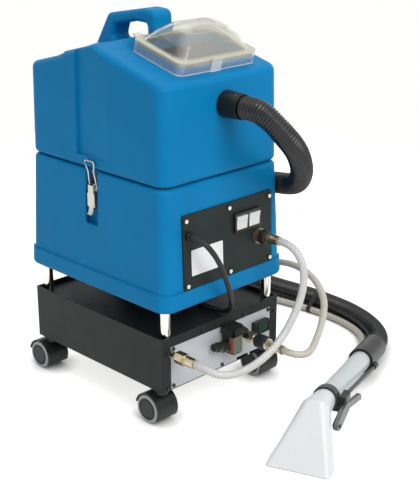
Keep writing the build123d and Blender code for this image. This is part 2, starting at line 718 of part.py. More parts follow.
with BuildPart() as pump:
    with Locations((72.0, -85.0, BAY_FLOOR)):
        Box(64.0, 90.0, 12.0, align=(Align.CENTER, Align.CENTER, Align.MIN))
    with BuildSketch(Plane(origin=(72.0, -48.0, BAY_FLOOR + 38.0), x_dir=(1, 0, 0), z_dir=(0, -1, 0))):
        Circle(27.0)
    extrude(amount=55.0)
    with Locations((72.0, -112.0, BAY_FLOOR + 38.0)):
        Box(58.0, 22.0, 58.0)
finish(pump, "pump")

# Seal between the tanks
with BuildPart() as tank_seal:
    with BuildSketch(Plane.XY.offset(LOWER_TOP)):
        RectangleRounded(TANK_W - 2 * SEAL_IN, TANK_D - 2 * SEAL_IN, TANK_CORNER - SEAL_IN)
        RectangleRounded(TANK_W - 2 * RIM_IN, TANK_D - 2 * RIM_IN, TANK_CORNER - RIM_IN, mode=Mode.SUBTRACT)
    extrude(amount=SEAM_GAP)
finish(tank_seal, "tank_seal")

# Upper tank
roof_plane = Plane(origin=(LID_X, LID_Y, roof_z(LID_Y)), x_dir=(1, 0, 0), z_dir=(0, -ROOF_SLOPE, 1))
NECK_OUT_W = LID_W - 2 * LID_WALL - 2 * MOVE_GAP
NECK_OUT_L = LID_L - 2 * LID_WALL - 2 * MOVE_GAP
NECK_CORNER = LID_CORNER - LID_WALL
MOUTH_OPEN_W = NECK_OUT_W - 2 * NECK_WALL
MOUTH_OPEN_L = NECK_OUT_L - 2 * NECK_WALL


def hump_section(x, rise):
    """Cross section of the hump at one place along the ridge, as a face."""
    with BuildSketch(Plane.YZ.offset(x)) as section:
        Polygon(
            (HUMP_FRONT, roof_z(HUMP_FRONT) - 6.0),
            (HUMP_FRONT, roof_z(HUMP_FRONT) - 0.5),
            (HUMP_FRONT + 14.0, roof_z(HUMP_FRONT + 14.0) + HUMP_FRONT_SHARE * rise),
            (0, RIDGE_Z + HUMP_FRONT_SHARE * rise),
            (REAR_STEP_Y, roof_z(REAR_STEP_Y) + HUMP_STEP_SHARE * rise),
            (HUMP_REAR - 14.0, roof_z(HUMP_REAR - 14.0) - REAR_STEP + rise),
            (HUMP_REAR, roof_z(HUMP_REAR) - REAR_STEP - 0.5),
            (HUMP_REAR, roof_z(HUMP_REAR) - REAR_STEP - 6.0),
            align=None,
        )
    return section.sketch


# Carrying handle: a bar along Y over a finger hole, rounded along its sides
HANDLE_ROUND = 8.0
HANDLE_HOLE_CORNER = 7.0
HANDLE_TOP_CORNER = 13.0

with BuildPart() as handle_form:
    with BuildSketch(Plane.YZ.offset(-HANDLE_W / 2)) as handle_profile:
        Polygon(*HANDLE_OUTLINE, align=None)
        fillet(handle_profile.vertices().filter_by(lambda corner: corner.Y > 640.0), HANDLE_TOP_CORNER)
    extrude(amount=HANDLE_W)
    with BuildSketch(Plane.YZ.offset(-HANDLE_W / 2)) as finger_hole:
        Polygon(*HANDLE_HOLE, align=None)
        fillet(finger_hole.vertices(), HANDLE_HOLE_CORNER)
    extrude(amount=HANDLE_W, mode=Mode.SUBTRACT)
    side_edges = handle_form.edges().filter_by(lambda edge: abs(edge.center().X) > HANDLE_W / 2 - 0.1)
    fillet(side_edges.filter_by(lambda edge: edge.center().Z > HANDLE_HOLE[0][1] + 3.0), HANDLE_ROUND)


def wedge_section(out, z):
    """Cross section of a side recess at a height, as a face that follows the drafted wall."""
    wall = upper_size(z)[0] / 2
    with BuildSketch(Plane.XY.offset(z)) as section:
        Polygon(
            (out * wall, WEDGE_FRONT), (out * (wall + TANK_WALL), WEDGE_FRONT),
            (out * (wall + TANK_WALL), WEDGE_REAR), (out * (wall - WEDGE_DEPTH), WEDGE_REAR), align=None,
        )
    return section.sketch


# Inside of the upper tank, which keeps clear of the side recesses
with BuildPart() as recovery_space:
    tapered(upper_size, UPPER_BOTTOM + TANK_WALL, RIDGE_Z + 20.0, TANK_WALL)
    gable(TANK_WALL + 0.5, Mode.INTERSECT)
    for out in (1, -1):
        with Locations((out * TANK_W / 2, (WEDGE_FRONT + WEDGE_REAR) / 2, WEDGE_FOOT - WEDGE_BACKING)):
            Box(
                2 * (WEDGE_DEPTH + WEDGE_BACKING), WEDGE_REAR - WEDGE_FRONT + 2 * WEDGE_BACKING, 2 * TANK_W,
                align=(Align.CENTER, Align.CENTER, Align.MIN), mode=Mode.SUBTRACT,
            )

LUG_TOP = BAIL_TOP_Z - BAIL_WIRE - MOVE_GAP
LUG_T = 5.0
LUG_W = 15.0

with BuildPart() as recovery_tank:
    tapered(upper_size, UPPER_BOTTOM, RIDGE_Z + 20.0, 0.0)
    gable(0.0, Mode.INTERSECT)
    roof_edges = recovery_tank.edges().filter_by(lambda edge: edge.center().Z > UPPER_BOTTOM + 140.0)
    wall_top = roof_edges.filter_by(lambda edge: abs(edge.center().X) > 60.0 or abs(edge.center().Y) > 150.0)
    fillet(wall_top, ROOF_EDGE)
    fillet(recovery_tank.edges().group_by(Axis.Z)[0], SEAM_EDGE)
    for out in (1, -1):
        hump = [hump_section(out * HUMP_HALF, 0.2), hump_section(out * HANDLE_W / 2, HUMP_RISE)]
        loft(hump, ruled=True)
    loft([hump_section(-HANDLE_W / 2, HUMP_RISE), hump_section(HANDLE_W / 2, HUMP_RISE)], ruled=True)
    add(handle_form.part)
    add(recovery_space.part, mode=Mode.SUBTRACT)
    block(roof_plane.offset(-6.0), NECK_OUT_W, NECK_OUT_L, 6.0 + NECK_H, NECK_CORNER)
    block(
        roof_plane.offset(-20.0), MOUTH_OPEN_W, MOUTH_OPEN_L, 22.0 + NECK_H, NECK_CORNER - NECK_WALL,
        mode=Mode.SUBTRACT,
    )
    for out in (1, -1):
        wedge = [wedge_section(out, WEDGE_FOOT), wedge_section(out, RIDGE_Z + 20.0)]
        loft(wedge, ruled=True, mode=Mode.SUBTRACT)
        with Locations((out * (BAIL_TOP_X - 2.5), LATCH_Y, LUG_TOP)):
            Box(11.0, LUG_W, LUG_T, align=(Align.CENTER, Align.CENTER, Align.MAX))
    rod(front_spot(SPIGOT_X, -TANK_D / 3, SPIGOT_Z), HOSE_R + SLIP_GAP, TANK_D, Mode.SUBTRACT)
finish(recovery_tank, "recovery_tank")

# Clear lid: skirt round the neck, flat rim and raised dome
with BuildPart() as lid:
    block(roof_plane.offset(MOVE_GAP), LID_W, LID_L, LID_SKIRT - MOVE_GAP, LID_CORNER)
    dome = []
    hollow = []
    for width, length, corner, height in DOME_SECTIONS:
        with BuildSketch(roof_plane.offset(height)) as section:
            RectangleRounded(width, length, corner)
        dome.append(section.sketch)
        with BuildSketch(roof_plane.offset(height - LID_WALL)) as section:
            RectangleRounded(width - 2 * LID_WALL, length - 2 * LID_WALL, corner - LID_WALL)
        hollow.append(section.sketch)
    loft(dome, ruled=True)
    loft(hollow, ruled=True, mode=Mode.SUBTRACT)
    with BuildSketch(roof_plane.offset(MOVE_GAP)) as clip:
        with Locations((CLIP_X, -LID_L / 2)):
            Rectangle(CLIP_W, 2 * CLIP_T)
    extrude(clip.sketch, amount=LID_SKIRT - MOVE_GAP)
    block(
        roof_plane, LID_W - 2 * LID_WALL, LID_L - 2 * LID_WALL, LID_SKIRT - LID_WALL, LID_CORNER - LID_WALL,
        mode=Mode.SUBTRACT,
    )
    with BuildSketch(roof_plane.offset(LID_SKIRT - LID_WALL)) as tab:
        with Locations((3.0 - LID_W / 2 + LID_CORNER, LID_L / 2 + 3.0)):
            RectangleRounded(16.0, 14.0, 3.0)
    extrude(tab.sketch, amount=LID_WALL)
finish(lid, "lid")

with BuildPart() as lid_gasket:
    with BuildSketch(roof_plane.offset(NECK_H)):
        RectangleRounded(NECK_OUT_W - 1.0, NECK_OUT_L - 1.0, NECK_CORNER - 0.5)
        RectangleRounded(MOUTH_OPEN_W, MOUTH_OPEN_L, NECK_CORNER - NECK_WALL, mode=Mode.SUBTRACT)
    extrude(amount=LID_SKIRT - LID_WALL - NECK_H - SLIP_GAP)
finish(lid_gasket, "lid_gasket")

# Separator box with the float that shuts the suction off when the tank is full
SEPARATOR_X = -36.0
SEPARATOR_Y = -90.0
SEPARATOR_W = 38.0
SEPARATOR_D = 62.0
SEPARATOR_TOP = 596.0
SEPARATOR_WALL = 2.0
FLOAT_R = 13.0
TANK_FLOOR = UPPER_BOTTOM + TANK_WALL
FLOAT_Z = TANK_FLOOR + SEPARATOR_WALL + FLOAT_R + MOVE_GAP

with BuildPart() as separator_box:
    foot = Plane((SEPARATOR_X, SEPARATOR_Y, TANK_FLOOR))
    block(foot, SEPARATOR_W, SEPARATOR_D, SEPARATOR_TOP - TANK_FLOOR, 2 * SEPARATOR_WALL)
    block(
        foot.offset(SEPARATOR_WALL), SEPARATOR_W - 2 * SEPARATOR_WALL, SEPARATOR_D - 2 * SEPARATOR_WALL,
        SEPARATOR_TOP - TANK_FLOOR - 2 * SEPARATOR_WALL, SEPARATOR_WALL, Mode.SUBTRACT,
    )
    with Locations((SEPARATOR_X + SEPARATOR_W / 2, SEPARATOR_Y, (TANK_FLOOR + SEPARATOR_TOP) / 2)):
        Box(10.0, SEPARATOR_D - 20.0, 120.0, mode=Mode.SUBTRACT)
finish(separator_box, "separator_box")

with BuildPart() as float_ball:
    with Locations((SEPARATOR_X, SEPARATOR_Y, FLOAT_Z)):
        Sphere(FLOAT_R)
finish(float_ball, "float_ball")

# Spigot through the front wall, turned up inside, and the rubber cuff of the vacuum hose
CUFF_START = -upper_size(SPIGOT_Z)[1] / 2 - 2 * MOVE_GAP
CUFF_END = CUFF_START - CUFF_LEN
SPIGOT_WALL = 2.5
SPIGOT_RISE_Y = -112.0
SPIGOT_TOP = 562.0

with BuildPart() as hose_spigot:
    with BuildLine() as spigot_line:
        FilletPolyline(
            (SPIGOT_X, CUFF_END + 5.0, SPIGOT_Z), (SPIGOT_X, SPIGOT_RISE_Y, SPIGOT_Z),
            (SPIGOT_X, SPIGOT_RISE_Y, SPIGOT_TOP), radius=24.0,
        )
    with BuildSketch(front_spot(SPIGOT_X, CUFF_END + 5.0, SPIGOT_Z)):
        Circle(HOSE_R)
        Circle(HOSE_R - SPIGOT_WALL, mode=Mode.SUBTRACT)
    sweep(path=spigot_line.wire())
finish(hose_spigot, "hose_spigot")

with BuildPart() as hose_cuff:
    ends = []
    for y, radius in ((CUFF_START, CUFF_R), (CUFF_END, CUFF_END_R)):
        with BuildSketch(front_spot(SPIGOT_X, y, SPIGOT_Z)) as section:
            Circle(radius)
        ends.append(section.sketch)
    loft(ends, ruled=True)
    fillet(hose_cuff.edges().filter_by(GeomType.CIRCLE), 1.0)
    rod(front_spot(SPIGOT_X, CUFF_START, SPIGOT_Z), HOSE_R + SLIP_GAP, CUFF_LEN, Mode.SUBTRACT)
finish(hose_cuff, "hose_cuff")

# Latches: a fixed plate with a pivot block, a lever of folded sheet, and a wire bail on the lever
PIVOT_PIN_R = 1.6
PIVOT_BLOCK = 8.0
CHEEK_IN = 5.0
CHEEK_T = 1.6
CHEEK_R = 3.4
TRUNNION_X = LATCH_PIVOT - 2.0
TRUNNION_Z = LATCH_PIVOT_Z - 8.0
TRUNNION_R = 1.2
TRUNNION_OUT = 10.0
EYE_R = 2.8
EYE_Y = 8.6
EYE_HALF = 1.6
LEVER_FACE = LATCH_PIVOT + 4.0
LEVER_T = 1.6
LEVER_FOOT = 347.0
LEVER_W = 18.0
LEVER_TIP_W = 11.0
LEVER_TOP = TRUNNION_Z - 6.5
BAIL_HALF = 11.0
BAIL_NECK = 7.2

for side_name, out in (("left", -1), ("right", 1)):
    across = Plane(origin=(0, LATCH_Y, 0), x_dir=(out, 0, 0), z_dir=(0, -out, 0))

    with BuildPart() as latch_plate:
        with Locations((out * (LATCH_RECESS + 0.5), LATCH_Y, LATCH_PIVOT_Z - 14.0)):
            Box(1.0, 24.0, 62.0)
        with BuildSketch(across):
            with Locations((LATCH_PIVOT - 2.0, LATCH_PIVOT_Z)):
                Rectangle(8.0, 6.4)
        extrude(amount=PIVOT_BLOCK / 2, both=True)
        with BuildSketch(across):
            with Locations((LATCH_PIVOT, LATCH_PIVOT_Z)):
                Circle(PIVOT_PIN_R)
        extrude(amount=CHEEK_IN + CHEEK_T + 0.3, both=True)
    finish(latch_plate, f"latch_plate_{side_name}")

    with BuildPart() as latch_lever:
        with BuildSketch(across) as cheek:
            with Locations((LATCH_PIVOT, LATCH_PIVOT_Z)):
                Circle(CHEEK_R)
            Polygon(
                (LATCH_PIVOT - CHEEK_R, LATCH_PIVOT_Z), (LATCH_PIVOT - CHEEK_R, TRUNNION_Z - 6.0),
                (LEVER_FACE + LEVER_T, TRUNNION_Z - 10.0), (LEVER_FACE + LEVER_T, LATCH_PIVOT_Z), align=None,
            )
        extrude(amount=CHEEK_IN + CHEEK_T, both=True)
        with BuildSketch(across):
            Polygon(
                (LATCH_PIVOT - 20.0, LATCH_PIVOT_Z + 20.0), (LATCH_PIVOT - 20.0, TRUNNION_Z - 20.0),
                (LEVER_FACE, TRUNNION_Z - 20.0), (LEVER_FACE, LATCH_PIVOT_Z + 20.0), align=None,
            )
        extrude(amount=CHEEK_IN, both=True, mode=Mode.SUBTRACT)
        with BuildSketch(across):
            with BuildLine():
                Polyline(
                    (LEVER_FACE, LEVER_TOP), (LEVER_FACE, LEVER_FOOT), (LEVER_FACE + LEVER_T, LEVER_FOOT),
                    (LEVER_FACE + LEVER_T, LEVER_TOP), close=True,
                )
            make_face()
        extrude(amount=LEVER_W / 2, both=True)
        with BuildSketch(across):
            with BuildLine():
                Polyline(
                    (LEVER_FACE, LEVER_FOOT), (LEVER_FACE + 1.0, LEVER_FOOT - 9.0),
                    (LEVER_FACE + 5.0, LEVER_FOOT - 14.0), (LEVER_FACE + 6.2, LEVER_FOOT - 12.8),
                    (LEVER_FACE + 2.6, LEVER_FOOT - 8.4), (LEVER_FACE + LEVER_T, LEVER_FOOT), close=True,
                )
            make_face()
        extrude(amount=LEVER_TIP_W / 2, both=True)
        with BuildSketch(across):
            with Locations((TRUNNION_X, TRUNNION_Z)):
                Circle(TRUNNION_R)
        extrude(amount=TRUNNION_OUT, both=True)
        with BuildSketch(across):
            with Locations((TRUNNION_X, TRUNNION_Z)):
                Circle(TRUNNION_R)
        extrude(amount=CHEEK_IN, both=True, mode=Mode.SUBTRACT)
        with BuildSketch(across):
            with Locations((LATCH_PIVOT, LATCH_PIVOT_Z)):
                Circle(PIVOT_PIN_R + RUN_GAP)
        extrude(amount=LEVER_W, both=True, mode=Mode.SUBTRACT)
    finish(latch_lever, f"latch_lever_{side_name}")

    with BuildPart() as latch_bail:
        lean = (BAIL_TOP_X - TRUNNION_X) / (BAIL_TOP_Z - TRUNNION_Z)
        bail_plane = Plane(
            origin=(out * TRUNNION_X, LATCH_Y, TRUNNION_Z), x_dir=(0, 1, 0), z_dir=(1, 0, -out * lean),
        )
        bail_rise = hypot(BAIL_TOP_Z - TRUNNION_Z, BAIL_TOP_X - TRUNNION_X)
        up = 1 if bail_plane.y_dir.Z > 0 else -1
        half_wire = [
            (EYE_Y, up * EYE_R * 0.8), (EYE_Y, up * bail_rise * 0.35), (BAIL_NECK, up * bail_rise * 0.64),
            (BAIL_HALF, up * bail_rise * 0.84), (BAIL_HALF, up * bail_rise),
        ]
        corners = [(-across_wire, rise) for across_wire, rise in half_wire] + half_wire[::-1]
        with BuildLine(bail_plane) as wire_line:
            FilletPolyline(*corners, radius=4.0)
        start = Plane(origin=wire_line.wire() @ 0, z_dir=wire_line.wire() % 0)
        with BuildSketch(start):
            Circle(BAIL_WIRE)
        sweep(path=wire_line.wire())
        for end in (-EYE_Y, EYE_Y):
            eye = Plane(
                origin=(out * TRUNNION_X, LATCH_Y + end - EYE_HALF, TRUNNION_Z), x_dir=(1, 0, 0),
                z_dir=(0, 1, 0),
            )
            rod(eye, EYE_R, 2 * EYE_HALF)
        for end in (-EYE_Y, EYE_Y):
            eye = Plane(
                origin=(out * TRUNNION_X, LATCH_Y + end - 2 * BAIL_WIRE, TRUNNION_Z), x_dir=(1, 0, 0),
                z_dir=(0, 1, 0),
            )
            rod(eye, TRUNNION_R + RUN_GAP, 4 * BAIL_WIRE, Mode.SUBTRACT)
    finish(latch_bail, f"latch_bail_{side_name}")

# Hand tool, in its own frame: s runs from the mouth to the hose, v across, z up
tool_turn = radians(TOOL_TURN)
tool_frame = Plane(origin=(TOOL_X, TOOL_Y, 0), x_dir=(cos(tool_turn), sin(tool_turn), 0), z_dir=(0, 0, 1))
fall_length = hypot(1.0, WAND_FALL)
wand_dir = (1.0 / fall_length, 0.0, -WAND_FALL / fall_length)
wand_down = (-WAND_FALL / fall_length, 0.0, -1.0 / fall_length)


def tool_point(s, v, z):
    """World place of a point given in the tool's frame."""
    return tool_frame.from_local_coords(Vector(s, v, z))


def tool_plane(place, x_dir, z_dir):
    """World plane given in the tool's frame."""
    origin = tool_point(*place)
    return Plane(
        origin=origin, x_dir=tool_point(*x_dir) - tool_frame.origin,
        z_dir=tool_point(*z_dir) - tool_frame.origin,
    )


def axis_z(s):
    """Height of the wand's axis."""
    return WAND_Z - WAND_FALL * (s - WAND_S)


def wand_plane(s, v=0.0, down=0.0):
    """Plane square to the wand, with its x pointing down and its y to the tool's left."""
    return tool_plane((s, v, axis_z(s) - down), wand_down, wand_dir)


MID_S = 79.0
MID_Z = 66.0
MID_DIR = (0.545, 0.0, -0.8386)
MID_NORMAL = (0.8386, 0.0, 0.545)
mouth_plane = tool_plane((MOUTH_S, 0, 0), (1, 0, 0), (0, 0, 1))
middle_plane = tool_plane((MID_S, 0, MID_Z), MID_DIR, MID_NORMAL)

with BuildPart() as tool_head:
    for inset, mode in ((0.0, Mode.ADD), (3.2, Mode.SUBTRACT)):
        sections = []
        for plane, length, width, corner in (
            (mouth_plane, MOUTH_L, MOUTH_W, 5.0),
            (middle_plane, 48.0, 45.0, 18.0),
            (wand_plane(NECK_S), 2 * WAND_R + 1.6, 2 * WAND_R + 1.6, WAND_R + 0.6),
        ):
            with BuildSketch(plane) as section:
                RectangleRounded(length - 2 * inset, width - 2 * inset, corner - inset)
            sections.append(section.sketch)
        loft(sections, ruled=True, mode=mode)
finish(tool_head, "tool_head")

with BuildPart() as tool_wand:
    with BuildSketch(wand_plane(NECK_S)):
        Circle(WAND_R)
        Circle(WAND_R - WAND_WALL, mode=Mode.SUBTRACT)
    extrude(amount=(WAND_END - NECK_S) * fall_length)
finish(tool_wand, "tool_wand")

COLLAR_S = 121.0
ARM_V = -25.0

with BuildPart() as tool_collar:
    with BuildSketch(wand_plane(COLLAR_S)):
        Circle(COLLAR_R)
        with Locations((12.0, ARM_V / 2 - 6.0)):
            Rectangle(10.0, -ARM_V - 12.0)
        Circle(WAND_R + SLIP_GAP, mode=Mode.SUBTRACT)
    extrude(amount=COLLAR_W)
finish(tool_collar, "tool_collar")

# Spray valve on the collar's arm: a bracket with the lever's pin, the valve block and the pipe to the cuff
BRACKET_T = 3.0
BRACKET_OUTLINE = (
    (146, 72), (146, 60), (134, 42), (100, 28), (89, 28), (86, 37), (98, 41), (112, 44), (118, 56), (118, 72),
)
VALVE_W = 12.0
VALVE_S = (118.0, 146.0)
VALVE_LOW = 62.0
VALVE_HIGH = 72.0
TRIGGER_S = 93.0
TRIGGER_Z = 33.0
TRIGGER_T = 7.0
TRIGGER_PIN_R = 2.0
PIN_HEAD_R = 3.4
PIPE_R = 3.6
BRACKET_FACE = ARM_V - BRACKET_T
TRIGGER_FACE = BRACKET_FACE - MOVE_GAP - TRIGGER_T
pipe_start = tool_point(VALVE_S[1] - 2.0, ARM_V - VALVE_W / 2, (VALVE_LOW + VALVE_HIGH) / 2)
pipe_end = tool_point(TOOL_CUFF_START - 0.5, -25.0, axis_z(TOOL_CUFF_START) - 8.0)


def tool_side(s, v, z):
    """Plane facing the tool's right, at a place in the tool's frame."""
    return tool_plane((s, v, z), (1, 0, 0), (0, -1, 0))


with BuildPart() as tool_valve:
    with BuildSketch(tool_side(0, ARM_V, 0)) as bracket:
        Polygon(*BRACKET_OUTLINE, align=None)
    extrude(bracket.sketch, amount=BRACKET_T)
    body_mid = (VALVE_S[0] + VALVE_S[1]) / 2
    body_foot = tool_plane((body_mid, ARM_V - VALVE_W / 2, VALVE_LOW), (1, 0, 0), (0, 0, 1))
    block(body_foot, VALVE_S[1] - VALVE_S[0], VALVE_W, VALVE_HIGH - VALVE_LOW, 3.0)
    rod(tool_side(TRIGGER_S, ARM_V, TRIGGER_Z), TRIGGER_PIN_R, ARM_V - TRIGGER_FACE + MOVE_GAP)
    rod(tool_side(TRIGGER_S, TRIGGER_FACE - MOVE_GAP, TRIGGER_Z), PIN_HEAD_R, 1.5)
    rod(Plane(origin=pipe_start, z_dir=pipe_end - pipe_start), PIPE_R, (pipe_end - pipe_start).length)
finish(tool_valve, "tool_valve")

TRIGGER_OUTLINE = (
    (224, 19), (216, 33), (150, 49), (136, 55), (112, 53), (98, 47), (84, 40), (81, 31), (91, 24.5),
    (105, 24), (124, 30), (150, 38),
)

with BuildPart() as tool_trigger:
    with BuildSketch(tool_side(0, BRACKET_FACE - MOVE_GAP, 0)) as trigger_outline:
        Polygon(*TRIGGER_OUTLINE, align=None)
        fillet(trigger_outline.vertices(), 2.5)
        with Locations((TRIGGER_S, TRIGGER_Z)):
            Circle(TRIGGER_PIN_R + RUN_GAP, mode=Mode.SUBTRACT)
    extrude(amount=TRIGGER_T)
finish(tool_trigger, "tool_trigger")

NIPPLE_V = 26.0
NIPPLE_S = (392.0, 432.0)
NIPPLE_DOWN = 10.5

with BuildPart() as tool_cuff:
    rod(wand_plane(TOOL_CUFF_START), TOOL_CUFF_R, (TOOL_CUFF_END - TOOL_CUFF_START) * fall_length)
    fillet(tool_cuff.edges().filter_by(GeomType.CIRCLE), 2.0)
    rod(wand_plane(TOOL_CUFF_START, -25.0, 8.0), 5.0, 18.0)
    rod(wand_plane(NIPPLE_S[0], NIPPLE_V, NIPPLE_DOWN), 7.5, (NIPPLE_S[1] - NIPPLE_S[0]) * fall_length)
    rod(
        wand_plane(TOOL_CUFF_START), WAND_R + SLIP_GAP,
        (WAND_END - TOOL_CUFF_START) * fall_length + SLIP_GAP, Mode.SUBTRACT,
    )
    rod(
        wand_plane(TOOL_CUFF_START), HOSE_BORE, (TOOL_CUFF_END - TOOL_CUFF_START) * fall_length,
        Mode.SUBTRACT,
    )
finish(tool_cuff, "tool_cuff")


# Hoses and lead: straight runs joined by the largest tangent arcs that their runs allow
def arc_radii(points):
    """Radius of the arc at each inner point of a route."""
    radii = []
    for before, here, after in zip(points, points[1:], points[2:]):
        run_in = Vector(*here) - Vector(*before)
        run_out = Vector(*after) - Vector(*here)
        turn = radians(run_in.get_angle(run_out))
        radii.append(0.45 * min(run_in.length, run_out.length) / tan(turn / 2))
    return radii


def report_tube(name, piece, line, radii, area):
    """Print a tube's tightest arc and compare its volume with its section times its length."""
    length = line.wire().length
    ratio = piece.part.volume / (area * length)
    print(f"{name}: length {length:.0f}, least radius {min(radii):.1f}, volume ratio {ratio:.4f}")
    print("  radii", [round(radius) for radius in radii])


def end_place(point):
    """Coordinates of a worked-out end of a route."""
    return point.X, point.Y, point.Z


LINK_START = end_place(panel_spot(COUPLER_X, COUPLER_Z, LINK_PLUG_END).origin)
LINK_NEXT = end_place(panel_spot(COUPLER_X, COUPLER_Z, LINK_PLUG_END + 17.0).origin)
LINK_ROUTE = [
    LINK_START, LINK_NEXT, (79.5, -263, 280), (80.5, -276, 261), (77, -283, 236), (66, -286, 208),
    (50, -285, 178), (26, -283, 149), (-5, -281, 128), (-37, -278, 117), (-67, -276, 114), (-94, -272, 116),
    (-112, -262, 121.5), (INLET_X, -245, INLET_Z), (INLET_X, inlet_end, INLET_Z),
]
SPRAY_ROUTE = [
    (OUTLET_X, SPRAY_PLUG_END, OUTLET_Z), (OUTLET_X, -289, OUTLET_Z), (46, -302, 115.5), (62, -307, 114.5),
    (82, -301, 115), (109, -287, 119), (137, -273, 128.5), (157, -262, 141), (171, -252, 156),
    (180, -239, 170), (186, -221, 183), (191, -199, 192), (195, -172, 196.5), (199, -140, 195),
    (202, -104, 187), (205, -66, 171), (207, -26, 148), (209, 14, 120), (212, 54, 89), (216, 93, 58),
    (222, 130, 32), (232, 166, 15), (248, 198, 8), (272, 221, 7), (301, 226, 7), (330, 211, 7),
    (353, 182, 7), (370, 144, 7), (383, 99, 7), (393, 51, 7), (401, 2, 7), (405, -49, 7), (403, -98, 7),
    (396, -138, 7), (383, -171, 7.5), (364, -195, 9),
    end_place(tool_point(NIPPLE_S[1] + 20, NIPPLE_V, axis_z(NIPPLE_S[1] + 20) - NIPPLE_DOWN)),
    end_place(tool_point(NIPPLE_S[1], NIPPLE_V, axis_z(NIPPLE_S[1]) - NIPPLE_DOWN)),
]
LEAD_START = end_place(panel_spot(GLAND_X, GLAND_Z, GLAND_LEN).origin)
LEAD_NEXT = end_place(panel_spot(GLAND_X, GLAND_Z, GLAND_LEN + 17.0).origin)
LEAD_LOW = TRAY_Z + LEAD_R + SLIP_GAP
LEAD_ROUTE = [
    LEAD_START, LEAD_NEXT, (-80, -215, 317), (-66, -220, 296), (-49, -218, 268), (-31, -211, 238),
    (-14, -202, 211), (1, -190, 187), (14, -174, 169), (21, -157, 158.5), (23, -140, LEAD_LOW),
    (20, -121, LEAD_LOW), (22, -99, LEAD_LOW), (33, -78, LEAD_LOW), (50, -60, LEAD_LOW), (69, -44, LEAD_LOW),
    (85, -26, LEAD_LOW), (COIL_X + COIL_R, -9, LEAD_LOW), (COIL_X + COIL_R, COIL_Y - 2 * LEAD_R, LEAD_LOW),
]

for name, route, tube_r in (
    ("link_hose", LINK_ROUTE, LINK_R),
    ("spray_hose", SPRAY_ROUTE, SPRAY_R),
    ("mains_lead", LEAD_ROUTE, LEAD_R),
):
    with BuildPart() as tube:
        radii = arc_radii(route)
        with BuildLine() as tube_line:
            FilletPolyline(*route, radius=radii)
        with BuildSketch(Plane(origin=route[0], z_dir=Vector(*route[1]) - Vector(*route[0]))):
            Circle(tube_r)
        sweep(path=tube_line.wire())
    report_tube(name, tube, tube_line, radii, pi * tube_r**2)
    finish(tube, name)

# Corrugated vacuum hose: ribs lofted through circles along the route, over a plain bore
FLOOR_HOSE_Z = HOSE_R + 0.5
VACUUM_ROUTE = [
    (SPIGOT_X, CUFF_END, SPIGOT_Z), (SPIGOT_X, -235, SPIGOT_Z), (5, -249, 523), (8.5, -265.5, 512.5),
    (16.5, -277.5, 497.5), (29.5, -283, 482), (48, -281, 464), (66, -273.5, 446.5), (83, -263.5, 430),
    (99, -252, 413.5), (113.5, -238, 397.5), (127, -221.5, 383.5), (140, -202, 372.5), (151.5, -178.5, 364),
    (158.5, -150, 358.5), (161, -118, 354), (164, -82, 343), (166, -45, 324), (168, -7, 298),
    (170, 31, 266), (172, 68, 229), (174, 104, 187), (176, 138, 143), (179, 170, 102), (184, 203, 66),
    (195, 241, 39), (219, 278, 24), (257, 303, FLOOR_HOSE_Z), (302, 313, FLOOR_HOSE_Z),
    (347, 305, FLOOR_HOSE_Z), (385, 279, FLOOR_HOSE_Z), (409, 240, FLOOR_HOSE_Z), (420, 196, FLOOR_HOSE_Z),
    (423, 150, FLOOR_HOSE_Z), (424, 106, FLOOR_HOSE_Z), (428, 64, FLOOR_HOSE_Z), (433, 24, FLOOR_HOSE_Z),
    (435.5, -18, FLOOR_HOSE_Z), (434, -59, FLOOR_HOSE_Z), (430.5, -99, FLOOR_HOSE_Z),
    (422.5, -136, FLOOR_HOSE_Z), (410.5, -169, FLOOR_HOSE_Z), (395, -198, FLOOR_HOSE_Z), (376, -222.5, 20),
    end_place(tool_point(TOOL_CUFF_END + 30, 0, axis_z(TOOL_CUFF_END + 30))),
    end_place(tool_point(TOOL_CUFF_END, 0, axis_z(TOOL_CUFF_END))),
]
RIB_STEPS = ((0.0, -RIB_DEPTH), (0.2, 0.0), (0.6, 0.0), (0.8, -RIB_DEPTH))


def ring_wires(wire, places):
    """Circles square to a wire at given distances along it, on an x axis that never twists."""
    steady = Vector(1, 0, 0)
    rings = []
    for along, radius in places:
        share = along / wire.length
        heading = wire % share
        steady = (steady - heading * steady.dot(heading)).normalized()
        rings.append(Wire.make_circle(radius, Plane(origin=wire @ share, x_dir=steady, z_dir=heading)))
    return rings


def side_faces(solid, wire):
    """Faces of a tube without its two flat ends, and the rims of those ends."""
    ends = (wire @ 0, wire @ 1)
    sides = []
    rims = [None, None]
    for face in solid.faces():
        misses = [(face.center() - end).length for end in ends]
        if min(misses) < SLIP_GAP:
            rims[misses.index(min(misses))] = face.outer_wire()
        else:
            sides.append(face)
    return sides, rims


with BuildPart() as vacuum_hose:
    radii = arc_radii(VACUUM_ROUTE)
    with BuildLine() as hose_line:
        FilletPolyline(*VACUUM_ROUTE, radius=radii)
    hose_wire = hose_line.wire()
    pitch = (hose_wire.length - 2 * PLAIN_END) / RIB_COUNT
    places = [(0.0, HOSE_R - RIB_DEPTH)]
    for rib in range(RIB_COUNT):
        for share, height in RIB_STEPS:
            places.append((PLAIN_END + (rib + share) * pitch, HOSE_R + height))
    places.append((hose_wire.length, HOSE_R - RIB_DEPTH))
    ribbed = Solid.make_loft(ring_wires(hose_wire, places), ruled=True)
    bore_ring = Wire.make_circle(HOSE_BORE, Plane(origin=hose_wire @ 0, z_dir=hose_wire % 0))
    bore = Solid.sweep(Face(bore_ring), path=hose_wire)
    outside, outer_rims = side_faces(ribbed, hose_wire)
    inside, inner_rims = side_faces(bore, hose_wire)
    caps = [Face(outer, [inner]) for outer, inner in zip(outer_rims, inner_rims)]
    add(Solid(Shell(outside + inside + caps)))
mean_area = pi * ((HOSE_R - 0.4 * RIB_DEPTH) ** 2 - HOSE_BORE**2)
